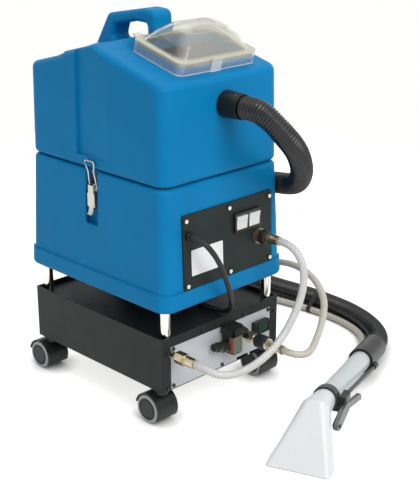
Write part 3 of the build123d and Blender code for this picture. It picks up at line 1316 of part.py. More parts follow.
report_tube("vacuum_hose", vacuum_hose, hose_line, radii, mean_area)
finish(vacuum_hose, "vacuum_hose")


# Coil of the unseen lead: it spirals in and out in layers, each turn made of biarcs
def coil_nodes():
    """Places and headings along the coil, a quarter turn apart, a half turn on each climb."""
    angle = 0.0
    radius = COIL_R
    height = LEAD_LOW
    nodes = []

    def put(slide):
        """Add the present place, with its heading turned by the spiral's own rate."""
        outward = Vector(cos(angle), sin(angle), 0)
        along = Vector(-sin(angle), cos(angle), 0)
        heading = (along * radius + outward * slide * COIL_PITCH / (2 * pi)).normalized()
        nodes.append((Vector(COIL_X, COIL_Y, height) + outward * radius, heading))

    put(0)
    for layer, quarters in enumerate(COIL_QUARTERS):
        slide = -1 if layer % 2 == 0 else 1
        if layer:
            angle += pi
            height += COIL_PITCH
            put(0)
        for quarter in range(quarters):
            angle += pi / 2
            radius += slide * COIL_PITCH / 4
            put(slide if quarter + 1 < quarters else 0)
    return nodes


def biarc(start, start_dir, end, end_dir):
    """Two arcs from one place and heading to another, joined smoothly."""
    chord = end - start
    total = start_dir + end_dir
    a = 2 * (start_dir.dot(end_dir) - 1)
    b = -2 * chord.dot(total)
    c = chord.dot(chord)
    reach = c / -b if abs(a) < 1e-9 else (-b - sqrt(b * b - 4 * a * c)) / (2 * a)
    near = start + start_dir * reach
    far = end - end_dir * reach
    middle = (near + far) * 0.5
    TangentArc(start, middle, tangent=start_dir)
    TangentArc(middle, end, tangent=far - near)


def least_gap(wire, tube_r, step, skip):
    """Least gap between stretches of a tube that are far apart along it."""
    count = ceil(wire.length / step)
    points = [wire @ (index / count) for index in range(count + 1)]
    apart = ceil(skip / step)
    least = min(
        (points[first] - points[second]).length
        for first in range(len(points))
        for second in range(first + apart, len(points))
    )
    return least - 2 * tube_r


STRAIGHT = 2 * LEAD_R
TAIL_BEND = Vector(TAIL_X, TAIL_Y, PLUG_Z)
TAIL_END = TAIL_BEND + Vector(-TAIL_R, TAIL_R, 0)
PLUG_BACK = TAIL_END - Vector(STRAIGHT, 0, 0)

with BuildPart() as mains_coil:
    nodes = coil_nodes()
    first_place, first_dir = nodes[0]
    with BuildLine() as coil_line:
        Line(first_place - first_dir * STRAIGHT, first_place)
        for (start, start_dir), (end, end_dir) in zip(nodes, nodes[1:]):
            biarc(start, start_dir, end, end_dir)
        last_place, last_dir = nodes[-1]
        biarc(last_place, last_dir, TAIL_BEND, Vector(0, 1, 0))
        TangentArc(TAIL_BEND, TAIL_END, tangent=(0, 1, 0))
        Line(TAIL_END, PLUG_BACK)
    with BuildSketch(Plane(origin=first_place - first_dir * STRAIGHT, z_dir=first_dir)):
        Circle(LEAD_R)
    sweep(path=coil_line.wire())
coil_length = coil_line.wire().length
coil_gap = least_gap(coil_line.wire(), LEAD_R, 3.0, 12 * LEAD_R)
coil_ratio = mains_coil.part.volume / (pi * LEAD_R**2 * coil_length)
print(f"mains_coil: length {coil_length:.0f}, least gap {coil_gap:.2f}, volume ratio {coil_ratio:.4f}")
finish(mains_coil, "mains_coil")

PLUG_BOOT = 14.0
PLUG_LEN = 32.0
PIN_R = 2.4
PIN_LEN = 19.0
PIN_PITCH = 19.0

with BuildPart() as mains_plug:
    plug_plane = Plane(origin=PLUG_BACK, x_dir=(0, 1, 0), z_dir=(-1, 0, 0))
    rod(plug_plane, LEAD_R + 2.0, PLUG_BOOT)
    rod(plug_plane.offset(PLUG_BOOT), PLUG_R, PLUG_LEN)
    fillet(mains_plug.edges().filter_by(GeomType.CIRCLE).group_by(SortBy.RADIUS)[-1], 3.0)
    for out in (-0.5, 0.5):
        with BuildSketch(plug_plane.offset(PLUG_BOOT + PLUG_LEN)):
            with Locations((out * PIN_PITCH, 0)):
                Circle(PIN_R)
        extrude(amount=PIN_LEN)
finish(mains_plug, "mains_plug")
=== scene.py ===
import json
from bisect import bisect
from math import cos, pi, radians, sin, tau

import bpy
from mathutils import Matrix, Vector


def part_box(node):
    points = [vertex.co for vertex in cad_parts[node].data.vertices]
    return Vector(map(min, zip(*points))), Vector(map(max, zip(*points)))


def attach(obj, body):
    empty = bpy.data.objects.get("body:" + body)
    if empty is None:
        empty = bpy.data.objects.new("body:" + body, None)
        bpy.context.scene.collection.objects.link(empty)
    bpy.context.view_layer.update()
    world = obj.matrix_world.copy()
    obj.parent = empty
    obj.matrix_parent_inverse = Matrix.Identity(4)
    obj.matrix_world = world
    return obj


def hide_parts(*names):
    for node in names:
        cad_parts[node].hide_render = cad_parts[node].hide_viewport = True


# Upholstery cleaning machine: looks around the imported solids. Metres, in the frame of the solids.
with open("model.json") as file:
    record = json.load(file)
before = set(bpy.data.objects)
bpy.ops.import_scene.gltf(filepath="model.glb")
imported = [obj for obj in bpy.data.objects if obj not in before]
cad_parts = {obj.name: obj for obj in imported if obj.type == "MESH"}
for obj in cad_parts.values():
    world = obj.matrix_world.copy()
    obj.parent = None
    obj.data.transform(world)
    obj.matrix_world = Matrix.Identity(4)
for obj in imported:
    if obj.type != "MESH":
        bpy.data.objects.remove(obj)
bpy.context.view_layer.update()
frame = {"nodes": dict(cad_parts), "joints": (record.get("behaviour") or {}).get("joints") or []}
nodes = frame["nodes"]
joints = {joint["name"]: joint for joint in frame["joints"]}
scene = bpy.context.scene
MM = 0.001
CORNERS = ("front_left", "front_right", "rear_left", "rear_right")

# Shading: the range that most of a noise lies in, and the fineness of a surface's unevenness
NOISE_LOW = 0.3
NOISE_HIGH = 0.7
EVEN = (1, 1, 1)
CLOUD_DETAIL = 3.0
GLOSS_FINER = 4
GRAIN_DETAIL = 2.0
GRAIN_DEPTH = 0.0004
EDGE_SAMPLES = 4

# Sockets of a mix node that mixes colours
MIX_SHARE = 0
MIX_FIRST = 6
MIX_SECOND = 7
MIX_RESULT = 2


def put(tree, kind, inputs=(), **settings):
    """Add a shader node, with its settings and the values or links of its inputs."""
    item = tree.nodes.new(kind)
    for name, value in settings.items():
        setattr(item, name, value)
    for name, value in dict(inputs).items():
        if isinstance(value, bpy.types.NodeSocket):
            tree.links.new(value, item.inputs[name])
        else:
            item.inputs[name].default_value = value
    return item


def calc(tree, operation, first, second=0.0, third=0.0):
    """Output of a math node."""
    item = put(tree, "ShaderNodeMath", {0: first, 1: second, 2: third}, operation=operation)
    return item.outputs[0]


def spread(tree, value, from_low, from_high, low, high):
    """A value mapped from one range to another, and held at the ends."""
    ends = {"From Min": from_low, "From Max": from_high, "To Min": low, "To Max": high}
    return put(tree, "ShaderNodeMapRange", {"Value": value, **ends}).outputs[0]


def blend_colors(tree, share, first, second):
    """Output of a colour mix."""
    inputs = {MIX_SHARE: share, MIX_FIRST: first, MIX_SECOND: second}
    return put(tree, "ShaderNodeMix", inputs, data_type="RGBA").outputs[MIX_RESULT]


def rgba(color, factor=1.0):
    """Colour with an alpha, made lighter or darker."""
    return (*(min(1.0, part * factor) for part in color), 1.0)


def shaded_place(tree, kind="Object"):
    """The shaded place in the frame of the solids, or along and round a hose for UV."""
    return put(tree, "ShaderNodeTexCoord").outputs[kind]


def place_parts(tree, kind="Object"):
    """Coordinates of the shaded place."""
    return put(tree, "ShaderNodeSeparateXYZ", {0: shaded_place(tree, kind)}).outputs


def distance_along(tree, start, way):
    """Distance of the shaded place from a start, measured along a direction."""
    offset = put(tree, "ShaderNodeVectorMath", {0: shaded_place(tree), 1: start}, operation="SUBTRACT")
    reach = put(tree, "ShaderNodeVectorMath", {0: offset.outputs[0], 1: way}, operation="DOT_PRODUCT")
    return reach.outputs["Value"]


def noise(tree, scale, detail, stretch):
    """Noise in the frame of the solids."""
    place = shaded_place(tree)
    if stretch != EVEN:
        place = put(tree, "ShaderNodeMapping", {"Vector": place, "Scale": stretch}).outputs[0]
    texture = put(tree, "ShaderNodeTexNoise", {"Vector": place, "Scale": scale, "Detail": detail})
    return texture.outputs["Fac"]


def surface(
    name, color, rough, metal=0.0, mottle=0.06, mottle_scale=18.0, grain=600.0, bump=0.05, edge=0.0006,
    stretch=EVEN, rough_play=0.06, **sockets,
):
    """Solid material with uneven colour and gloss, a fine grain and softened edges."""
    made = bpy.data.materials.new(name)
    made.use_nodes = True
    tree = made.node_tree
    shader = tree.nodes["Principled BSDF"]
    shader.inputs["Metallic"].default_value = metal
    for socket, value in sockets.items():
        shader.inputs[socket.replace("_", " ")].default_value = value
    clouds = noise(tree, mottle_scale, CLOUD_DETAIL, stretch)
    clouds = spread(tree, clouds, NOISE_LOW, NOISE_HIGH, 0.0, 1.0)
    tint = blend_colors(tree, clouds, rgba(color, 1 - mottle), rgba(color, 1 + mottle))
    tree.links.new(tint, shader.inputs["Base Color"])
    gloss = noise(tree, mottle_scale * GLOSS_FINER, CLOUD_DETAIL, stretch)
    gloss = spread(tree, gloss, NOISE_LOW, NOISE_HIGH, rough - rough_play, rough + rough_play)
    tree.links.new(gloss, shader.inputs["Roughness"])
    soft = put(tree, "ShaderNodeBevel", {"Radius": edge}, samples=EDGE_SAMPLES).outputs[0]
    height = noise(tree, grain, GRAIN_DETAIL, stretch)
    relief = {"Height": height, "Strength": bump, "Distance": GRAIN_DEPTH, "Normal": soft}
    tree.links.new(put(tree, "ShaderNodeBump", relief).outputs[0], shader.inputs["Normal"])
    return made


def base_color(made):
    """Tree, colour input and colour output of a surface's uneven colour."""
    tree = made.node_tree
    socket = tree.nodes["Principled BSDF"].inputs["Base Color"]
    return tree, socket, socket.links[0].from_socket


# Plastics and paint
blue = surface(
    "blue_plastic", (0.002, 0.2, 0.455), 0.46, mottle_scale=9.0, grain=420.0, bump=0.1, edge=0.0025,
    Specular_IOR_Level=0.1,
)
black_paint = surface(
    "black_paint", (0.018, 0.022, 0.021), 0.45, mottle=0.15, grain=900.0, bump=0.15,
    Specular_IOR_Level=0.16,
)
black_plastic = surface(
    "black_plastic", (0.013, 0.014, 0.014), 0.36, mottle=0.2, grain=1200.0, bump=0.08,
    Specular_IOR_Level=0.3,
)
castor_plastic = surface(
    "castor_plastic", (0.013, 0.015, 0.015), 0.36, mottle=0.15, grain=900.0, bump=0.06,
    Specular_IOR_Level=0.3,
)
panel_plastic = surface(
    "panel_plastic", (0.016, 0.023, 0.022), 0.5, mottle=0.15, grain=1500.0, bump=0.2,
    Specular_IOR_Level=0.16,
)
white = surface(
    "white_plastic", (0.74, 0.75, 0.765), 0.33, mottle=0.02, grain=500.0, bump=0.06, edge=0.0015,
)
switch_white = surface("switch_white", (0.74, 0.75, 0.76), 0.28, mottle=0.03, grain=900.0, bump=0.04)
# The wand's white plastic painted greyer and bluer as painted shade
wand_painted_shade = surface("wand_painted_shade", (0.58, 0.63, 0.64), 0.33, mottle=0.02, grain=500.0, bump=0.04)
label_white = surface("label_white", (0.85, 0.86, 0.87), 0.42, mottle=0.02, grain=900.0, bump=0.03)
collar_dark = surface("collar_dark", (0.03, 0.031, 0.032), 0.4, mottle=0.15, grain=900.0)
lever_grey = surface("lever_grey", (0.14, 0.145, 0.15), 0.4, mottle=0.1, grain=900.0)
separator_grey = surface("separator_grey", (0.06, 0.062, 0.05), 0.5, mottle=0.15, grain=500.0)
spigot_pale = surface("spigot_pale", (0.42, 0.55, 0.78), 0.4, mottle=0.05, grain=500.0)
green_lens = surface(
    "green_lens", (0.05, 0.1, 0.065), 0.12, mottle=0.1, grain=400.0, bump=0.1, Transmission_Weight=0.3,
    IOR=1.49,
)

# Rubber
black_rubber = surface(
    "black_rubber", (0.017, 0.019, 0.019), 0.45, mottle=0.2, grain=700.0, bump=0.1, Specular_IOR_Level=0.3,
)
cuff_black = surface(
    "cuff_black", (0.011, 0.013, 0.012), 0.32, mottle=0.2, grain=700.0, bump=0.08, Specular_IOR_Level=0.2,
)
seal_rubber = surface("seal_rubber", (0.012, 0.013, 0.014), 0.6, grain=700.0)
gasket_rubber = surface("gasket_rubber", (0.3, 0.25, 0.16), 0.6, grain=700.0)

# Metals
silver = surface(
    "silver_sheet", (0.56, 0.58, 0.61), 0.42, metal=0.15, mottle=0.03, mottle_scale=30.0, grain=500.0,
    bump=0.06, stretch=(0.12, 1, 1), Specular_IOR_Level=0.3,
)
steel = surface("steel", (0.55, 0.55, 0.56), 0.35, metal=1.0)
bright_steel = surface("bright_steel", (0.7, 0.69, 0.65), 0.3, metal=0.9)
black_steel = surface("black_steel", (0.02, 0.02, 0.021), 0.32, metal=0.4, grain=900.0)
chrome = surface(
    "chrome", (0.68, 0.67, 0.62), 0.1, metal=1.0, mottle=0.03, grain=300.0, bump=0.015, rough_play=0.03,
)
# Latch plates painted dark blue as the painted shade of their recess
latch_painted_shade = surface("latch_painted_shade", (0.02, 0.035, 0.07), 0.5, metal=0.3)
latch_steel = surface(
    "latch_steel", (0.5, 0.5, 0.45), 0.36, metal=0.9, mottle=0.05, grain=500.0, bump=0.04,
)
brass = surface(
    "brass", (0.56, 0.48, 0.32), 0.28, metal=1.0, mottle=0.2, mottle_scale=60.0, grain=700.0, bump=0.06,
)
aged_brass = surface(
    "aged_brass", (0.2, 0.15, 0.09), 0.35, metal=0.7, mottle=0.2, mottle_scale=60.0, grain=700.0,
)
pale_brass = surface(
    "pale_brass", (0.72, 0.66, 0.5), 0.24, metal=1.0, mottle=0.1, mottle_scale=60.0, grain=700.0,
)
motor_grey = surface("motor_grey", (0.2, 0.21, 0.22), 0.45, metal=0.3, grain=700.0)

# Clear lid: heights over the sloping roof, and the back of its front clip along the roof
SKIRT_FOOT = 0.0016
RIM_LOW = 0.0188
RIM_HIGH = 0.0223
CLIP_BACK = -0.0587
SKIRT_TINT = (0.84, 0.9, 0.93)
RIM_TINT = (0.9, 0.86, 0.73)
PALE_TINT = (0.92, 0.94, 0.95)

# Clouding of the lid's parts, and the painted haze that grows towards the front right of its dome, painted
# light standing in for the lit inside of the tank
CLEAR = 0.05
SKIRT_CLOUD = 0.1
RIM_CLOUD = 0.38
FOOT_CLOUD = 0.5
CLIP_CLOUD = 0.35
PAINTED_LIGHT_HAZE = 0.15
PAINTED_LIGHT_LEAN = -1.29
PAINTED_LIGHT_START = 0.098
PAINTED_LIGHT_END = 0.128


def lid_material():
    """Clear plastic: bluish skirt with a bright foot, cream rim, milky clip, dome painted hazy at the front
    as painted light from the tank's inside.
    """
    made = surface(
        "clear_plastic", (0.89, 0.89, 0.83), 0.07, mottle=0.02, grain=160.0, bump=0.02, rough_play=0.03,
        IOR=1.3,
    )
    tree, socket, base = base_color(made)
    middle = joints["lid_lift"]["pos_m"]
    lift = Vector(joints["lid_lift"]["axis"])
    height = distance_along(tree, middle, lift)
    back = distance_along(tree, middle, (0, lift.z, -lift.y))
    low = calc(tree, "LESS_THAN", height, RIM_LOW)
    foot = calc(tree, "LESS_THAN", height, SKIRT_FOOT)
    rim = calc(tree, "SUBTRACT", calc(tree, "LESS_THAN", height, RIM_HIGH), low)
    clip = calc(tree, "MULTIPLY", calc(tree, "LESS_THAN", back, CLIP_BACK), low)
    tint = blend_colors(tree, low, base, rgba(SKIRT_TINT))
    tint = blend_colors(tree, rim, tint, rgba(RIM_TINT))
    tint = blend_colors(tree, calc(tree, "MAXIMUM", foot, clip), tint, rgba(PALE_TINT))
    tree.links.new(tint, socket)
    spot = place_parts(tree)
    # Painted haze on the dome, stronger towards the front right: painted light standing in for the lit
    # inside of the tank
    across = calc(tree, "MULTIPLY_ADD", spot["Y"], PAINTED_LIGHT_LEAN, spot["X"])
    painted_light_haze = spread(tree, across, PAINTED_LIGHT_START, PAINTED_LIGHT_END, 0.0, PAINTED_LIGHT_HAZE)
    dome = calc(tree, "GREATER_THAN", height, RIM_HIGH)
    cloudy = calc(tree, "MULTIPLY_ADD", painted_light_haze, dome, CLEAR)
    for mask, cloud in ((low, SKIRT_CLOUD), (rim, RIM_CLOUD), (foot, FOOT_CLOUD), (clip, CLIP_CLOUD)):
        cloudy = calc(tree, "MULTIPLY_ADD", mask, cloud, cloudy)
    seen_through = calc(tree, "SUBTRACT", 1.0, cloudy)
    tree.links.new(seen_through, tree.nodes["Principled BSDF"].inputs["Transmission Weight"])
    return made


# Solenoid coil: its width, the margins of its left side, and depths from its front
SOLENOID_W = 0.024
SIDE_LOW = -0.0002
SIDE_HIGH = 0.0004
BAND_DEPTH = 0.0095
FACE_DEPTH = 0.0003
COPPER = (0.3, 0.085, 0.05)
GREY_GREEN = (0.14, 0.15, 0.11)


def solenoid_material():
    """Dark moulded coil, with a copper band on its left side and a grey-green face."""
    made = surface(
        "coil_face", (0.014, 0.015, 0.014), 0.4, mottle=0.15, grain=900.0, Specular_IOR_Level=0.3,
    )
    tree, socket, base = base_color(made)
    spot = place_parts(tree)
    low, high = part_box("solenoid_coil")
    left = high.x - SOLENOID_W
    side = calc(tree, "GREATER_THAN", spot["X"], left + SIDE_LOW)
    side = calc(tree, "MULTIPLY", side, calc(tree, "LESS_THAN", spot["X"], left + SIDE_HIGH))
    band = calc(tree, "MULTIPLY", side, calc(tree, "LESS_THAN", spot["Y"], low.y + BAND_DEPTH))
    face = calc(tree, "LESS_THAN", spot["Y"], low.y + FACE_DEPTH)
    tint = blend_colors(tree, band, base, rgba(COPPER))
    tree.links.new(blend_colors(tree, face, tint, rgba(GREY_GREEN)), socket)
    return made


# Castor wheel: inner radius of its grey ring, and the ring's least distance from the castor's middle
RING_R = 0.0197
RING_X = 0.0135
RING_GREY = (0.38, 0.4, 0.42)


def wheel_material(corner):
    """Castor wheel: black, with a grey ring round its outer face."""
    made = surface(
        f"wheel_{corner}", (0.02, 0.023, 0.023), 0.4, mottle=0.2, grain=900.0, Specular_IOR_Level=0.25,
    )
    tree, socket, hub = base_color(made)
    spot = place_parts(tree)
    middle = Vector(joints[f"roll_{corner}"]["pos_m"])
    across = calc(tree, "SUBTRACT", spot["Y"], middle.y)
    height = calc(tree, "SUBTRACT", spot["Z"], middle.z)
    square = calc(tree, "MULTIPLY_ADD", across, across, calc(tree, "MULTIPLY", height, height))
    reach = calc(tree, "SQRT", square)
    outward = calc(tree, "ABSOLUTE", calc(tree, "SUBTRACT", spot["X"], middle.x))
    ring = calc(tree, "GREATER_THAN", reach, RING_R)
    ring = calc(tree, "MULTIPLY", ring, calc(tree, "GREATER_THAN", outward, RING_X))
    tree.links.new(blend_colors(tree, ring, hub, rgba(RING_GREY)), socket)
    return made


# Braided hose: pitch and number of its threads, their half width as a share of the pitch, and their relief
BRAID_PITCH = 0.0052
BRAID_STRANDS = 6
THREAD_HALF = 0.1
THREAD_BUMP = 0.35
THREAD_DEPTH = 0.0004


def braid_material(name, body, thread):
    """Clear hose with crossing threads, drawn along the hose and round it."""
    made = surface(name, body, 0.22, mottle=0.03, mottle_scale=60.0, Transmission_Weight=0.25, IOR=1.45)
    tree, socket, base = base_color(made)
    spot = place_parts(tree, "UV")
    along = calc(tree, "DIVIDE", spot["X"], BRAID_PITCH)
    threads = []
    for hand in (BRAID_STRANDS, -BRAID_STRANDS):
        phase = calc(tree, "FRACT", calc(tree, "MULTIPLY_ADD", spot["Y"], hand, along))
        off_line = calc(tree, "ABSOLUTE", calc(tree, "SUBTRACT", phase, 0.5))
        threads.append(calc(tree, "LESS_THAN", off_line, THREAD_HALF))
    mask = calc(tree, "MAXIMUM", *threads)
    tree.links.new(blend_colors(tree, mask, base, rgba(thread)), socket)
    relief = {"Height": mask, "Strength": THREAD_BUMP, "Distance": THREAD_DEPTH}
    normal = put(tree, "ShaderNodeBump", relief).outputs[0]
    tree.links.new(normal, tree.nodes["Principled BSDF"].inputs["Normal"])
    return made


link_braid = braid_material("link_braid", (0.83, 0.82, 0.8), (0.58, 0.57, 0.56))
spray_braid = braid_material("spray_braid", (0.74, 0.7, 0.61), (0.54, 0.51, 0.44))

# Finishes of the solids that no piece replaces
FINISHES = (
    (blue, ("solution_tank", "recovery_tank")),
    (black_paint, ("trolley_cover", "trolley_floor")),
    (
        black_plastic,
        ("solenoid_body", "heater_switch_frame", "switch_bezel", "cable_gland", "tool_valve", "mains_plug"),
    ),
    (castor_plastic, [f"castor_hood_{corner}" for corner in CORNERS]),
    (panel_plastic, ("control_panel",)),
    (white, ("tool_head",)),
    (switch_white, ("vacuum_rocker", "pump_rocker", "float_ball")),
    (wand_painted_shade, ("tool_wand",)),
    (collar_dark, ("tool_collar",)),
    (lever_grey, ("tool_trigger",)),
    (separator_grey, ("separator_box",)),
    (spigot_pale, ("hose_spigot",)),
    (green_lens, ("heater_rocker",)),
    (lid_material(), ("lid",)),
    (solenoid_material(), ("solenoid_coil",)),
    (black_rubber, ("outlet_sleeve", "coupler_sleeve")),
    (cuff_black, ("hose_cuff", "tool_cuff")),
    (seal_rubber, ("tank_seal",)),
    (gasket_rubber, ("lid_gasket",)),
    (silver, ("heater_panel",)),
    (steel, ("heater_vessel",)),
    (bright_steel, ("panel_screws",)),
    (black_steel, ("trolley_screws",)),
    (chrome, ("support_posts",)),
    (latch_painted_shade, ("latch_plate_left", "latch_plate_right")),
    (latch_steel, ("latch_lever_left", "latch_lever_right", "latch_bail_left", "latch_bail_right")),
    (brass, ("inlet_fitting", "link_plug", "spray_plug")),
    (aged_brass, ("panel_coupler",)),
    (pale_brass, ("outlet_fitting",)),
    (motor_grey, ("vacuum_motor", "pump")),
    *((wheel_material(corner), (f"castor_wheels_{corner}",)) for corner in CORNERS),
)
for finish, names in FINISHES:
    for name in names:
        nodes[name].data.materials.clear()
        nodes[name].data.materials.append(finish)


# Pieces
def piece(name, vertices, faces, finish, smooth=True):
    """Mesh object that rides on the machine."""
    mesh = bpy.data.meshes.new(name)
    mesh.from_pydata(vertices, [], faces)
    mesh.polygons.foreach_set("use_smooth", [smooth] * len(mesh.polygons))
    mesh.materials.append(finish)
    made = bpy.data.objects.new(name, mesh)
    scene.collection.objects.link(made)
    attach(made, "machine")
    return made


def route_line(route):
    """Points along the smooth spline that a route's points control, in metres."""
    curve = bpy.data.curves.new("route", "CURVE")
    curve.dimensions = "3D"
    spline = curve.splines.new("NURBS")
    spline.points.add(len(route) - 1)
    for point, place in zip(spline.points, route):
        point.co = (*(part * MM for part in place), 1.0)
    spline.order_u = 3
    spline.use_endpoint_u = True
    spline.resolution_u = 12
    holder = bpy.data.objects.new("route", curve)
    mesh = bpy.data.meshes.new_from_object(holder)
    line = [vertex.co.copy() for vertex in mesh.vertices]
    bpy.data.objects.remove(holder)
    bpy.data.curves.remove(curve)
    bpy.data.meshes.remove(mesh)
    return line


class Line:
    """A line with its length, places and headings along it."""

    def __init__(self, points):
        self.points = points
        self.reach = [0.0]
        for before, after in zip(points, points[1:]):
            self.reach.append(self.reach[-1] + (after - before).length)
        self.length = self.reach[-1]

    def place(self, along):
        """Place at a distance along the line."""
        index = min(max(bisect(self.reach, along) - 1, 0), len(self.points) - 2)
        share = (along - self.reach[index]) / (self.reach[index + 1] - self.reach[index])
        return self.points[index].lerp(self.points[index + 1], share)

    def heading(self, along, step=0.004):
        """Direction of the line at a distance along it."""
        low = max(along - step, 0.0)
        high = min(along + step, self.length)
        return (self.place(high) - self.place(low)).normalized()


# Corners of a tube's wall face, as steps along the tube and round it
WALL_CORNERS = ((0, 0), (0, 1), (1, 1), (1, 0))


def tube(name, line, stations, finish, sides=20):
    """Closed tube along a line, with a radius at each station, and length and angle as its texture map."""
    steady = Vector((1, 0, 0))
    vertices = []
    for along, radius in stations:
        heading = line.heading(along)
        steady = (steady - heading * steady.dot(heading)).normalized()
        other = heading.cross(steady)
        centre = line.place(along)
        for side in range(sides):
            turn = tau * side / sides
            vertices.append(centre + (steady * cos(turn) + other * sin(turn)) * radius)
    walls = [(ring, side) for ring in range(len(stations) - 1) for side in range(sides)]
    faces = [
        tuple((ring + ahead) * sides + (side + beside) % sides for ahead, beside in WALL_CORNERS)
        for ring, side in walls
    ]
    last = (len(stations) - 1) * sides
    faces.append(tuple(range(sides))[::-1])
    faces.append(tuple(last + side for side in range(sides)))
    made = piece(name, vertices, faces, finish)
    layer = made.data.uv_layers.new(name="along")
    for polygon, (ring, side) in zip(made.data.polygons, walls):
        for loop, (ahead, beside) in zip(polygon.loop_indices, WALL_CORNERS):
            layer.data[loop].uv = (stations[ring + ahead][0], (side + beside) / sides)
    return made


# Hoses and lead: radii, and the routes of the solids in millimetres. The vacuum hose's route is drawn in
# by up to 0.7 mm on its far right, so that its ribs stay inside the box of the solids.
LINK_R = 0.0065
SPRAY_R = 0.00625
LEAD_R = 0.0045
HOSE_R = 0.019
LEAD_LOW = 154.7
PLUG_Z = 169.0
FLOOR_HOSE = 19.5
LINK_ROUTE = [
    (76, -227.28, 290.35), (76, -244.27, 290.97), (79.5, -263, 280), (80.5, -276, 261), (77, -283, 236),
    (66, -286, 208), (50, -285, 178), (26, -283, 149), (-5, -281, 128), (-37, -278, 117), (-67, -276, 114),
    (-94, -272, 116), (-112, -262, 121.5), (-119, -245, 128), (-119, -224, 128),
]
SPRAY_ROUTE = [
    (38, -274, 117.5), (38, -289, 117.5), (46, -302, 115.5), (62, -307, 114.5), (82, -301, 115),
    (109, -287, 119), (137, -273, 128.5), (157, -262, 141), (171, -252, 156), (180, -239, 170),
    (186, -221, 183), (191, -199, 192), (195, -172, 196.5), (199, -140, 195), (202, -104, 187),
    (205, -66, 171), (207, -26, 148), (209, 14, 120), (212, 54, 89), (216, 93, 58), (222, 130, 32),
    (232, 166, 15), (248, 198, 8), (272, 221, 7), (301, 226, 7), (330, 211, 7), (353, 182, 7),
    (370, 144, 7), (383, 99, 7), (393, 51, 7), (401, 2, 7), (405, -49, 7), (403, -98, 7), (396, -138, 7),
    (383, -171, 7.5), (364, -195, 9), (335.15, -220.82, 10.34), (316.57, -228.21, 12.75),
]
LEAD_ROUTE = [
    (-87.4, -184.09, 327.81), (-87.4, -201.08, 328.43), (-80, -215, 317), (-66, -220, 296),
    (-49, -218, 268), (-31, -211, 238), (-14, -202, 211), (1, -190, 187), (14, -174, 169),
    (21, -157, 158.5), (23, -140, LEAD_LOW), (20, -121, LEAD_LOW), (22, -99, LEAD_LOW),
    (33, -78, LEAD_LOW), (50, -60, LEAD_LOW), (69, -44, LEAD_LOW), (85, -26, LEAD_LOW), (93, -9, LEAD_LOW),
]
VACUUM_ROUTE = [
    (4, -209, 527), (4, -235, 527), (5, -249, 523), (8.5, -265.5, 512.5), (16.5, -277.5, 497.5),
    (29.5, -283, 482), (48, -281, 464), (66, -273.5, 446.5), (83, -263.5, 430), (99, -252, 413.5),
    (113.5, -238, 397.5), (127, -221.5, 383.5), (140, -202, 372.5), (151.5, -178.5, 364),
    (158.5, -150, 358.5), (161, -118, 354), (164, -82, 343), (166, -45, 324), (168, -7, 298),
    (170, 31, 266), (172, 68, 229), (174, 104, 187), (176, 138, 143), (179, 170, 102), (184, 203, 66),
    (195, 241, 39), (219, 278, 24), (257, 303, FLOOR_HOSE), (302, 313, FLOOR_HOSE),
    (347, 305, FLOOR_HOSE), (385, 279, FLOOR_HOSE), (409, 240, FLOOR_HOSE), (420, 196, FLOOR_HOSE),
    (423, 150, FLOOR_HOSE), (424, 106, FLOOR_HOSE), (428, 64, FLOOR_HOSE), (432.5, 24, FLOOR_HOSE),
    (434.8, -18, FLOOR_HOSE), (433.5, -59, FLOOR_HOSE), (430.5, -99, FLOOR_HOSE),
    (422.5, -136, FLOOR_HOSE), (410.5, -169, FLOOR_HOSE), (395, -198, FLOOR_HOSE), (376, -222.5, 20),
    (352.2, -242.02, 19.87), (324.33, -253.11, 23.49),
]

# Coil of the unseen lead on the tray, in millimetres: quarter turns of each layer, points of each quarter
COIL_X = 25.0
COIL_Y = 15.0
COIL_R = 68.0
COIL_PITCH = 11.4
COIL_QUARTERS = (12, 13, 12, 13)
QUARTER_STEPS = 3
COIL_LEAD_IN = 9.0
COIL_START = [(COIL_X + COIL_R, COIL_Y - COIL_LEAD_IN, LEAD_LOW)]
COIL_TAIL = [
    (98.7, 34, 187.5), (101.4, 43, 179), (103.9, 56, 170.5), (104, 68, PLUG_Z), (104, 80.9, PLUG_Z),
    (94.1, 98.1, PLUG_Z), (76.9, 108, PLUG_Z), (58, 108, PLUG_Z),
]


def coil_route():
    """Control points of the put-away coil: it spirals in and out, with a half turn on each climb."""
    step = pi / 2 / QUARTER_STEPS
    swell = 1 / cos(step / 2)
    angle = -step / 2
    radius = COIL_R
    height = LEAD_LOW
    route = []
    for layer, quarters in enumerate(COIL_QUARTERS):
        slide = -1 if layer % 2 == 0 else 1
        climb = 2 * QUARTER_STEPS if layer else 0
        for index in range(climb + quarters * QUARTER_STEPS):
            angle += step
            if index < climb:
                height += COIL_PITCH / climb
            else:
                radius += slide * COIL_PITCH / 4 / QUARTER_STEPS
            wide = radius * swell
            route.append((COIL_X + wide * cos(angle), COIL_Y + wide * sin(angle), height))
    return route


def plain_hose(name, route, radius, finish, sides=20, step=0.004):
    """Smooth round hose along a route, and its line."""
    line = Line(route_line(route))
    count = round(line.length / step)
    stations = [(line.length * index / count, radius) for index in range(count + 1)]
    return tube(name, line, stations, finish, sides), line


link, link_line = plain_hose("link_tube", LINK_ROUTE, LINK_R, link_braid)
spray, spray_line = plain_hose("spray_tube", SPRAY_ROUTE, SPRAY_R, spray_braid)
lead, lead_line = plain_hose(
    "lead_cable", LEAD_ROUTE + COIL_START + coil_route() + COIL_TAIL, LEAD_R, black_rubber,
    sides=14, step=0.005,
)

# Corrugated hose: shares along a rib, each with a share of its depth, and where its crest is painted
# lighter as a painted highlight
RIB_DEPTH = 0.0018
RIB_PITCH = 0.0045
RIB_STEPS = ((0.0, 1.0), (0.2, 0.75), (0.36, 0.1), (0.5, 0.0), (0.64, 0.1), (0.8, 0.75))
PLAIN_END = 0.003
CREST_FULL = 0.08
CREST_END = 0.36
CREST_PAINTED_HIGHLIGHT = (0.012, 0.0135, 0.013)


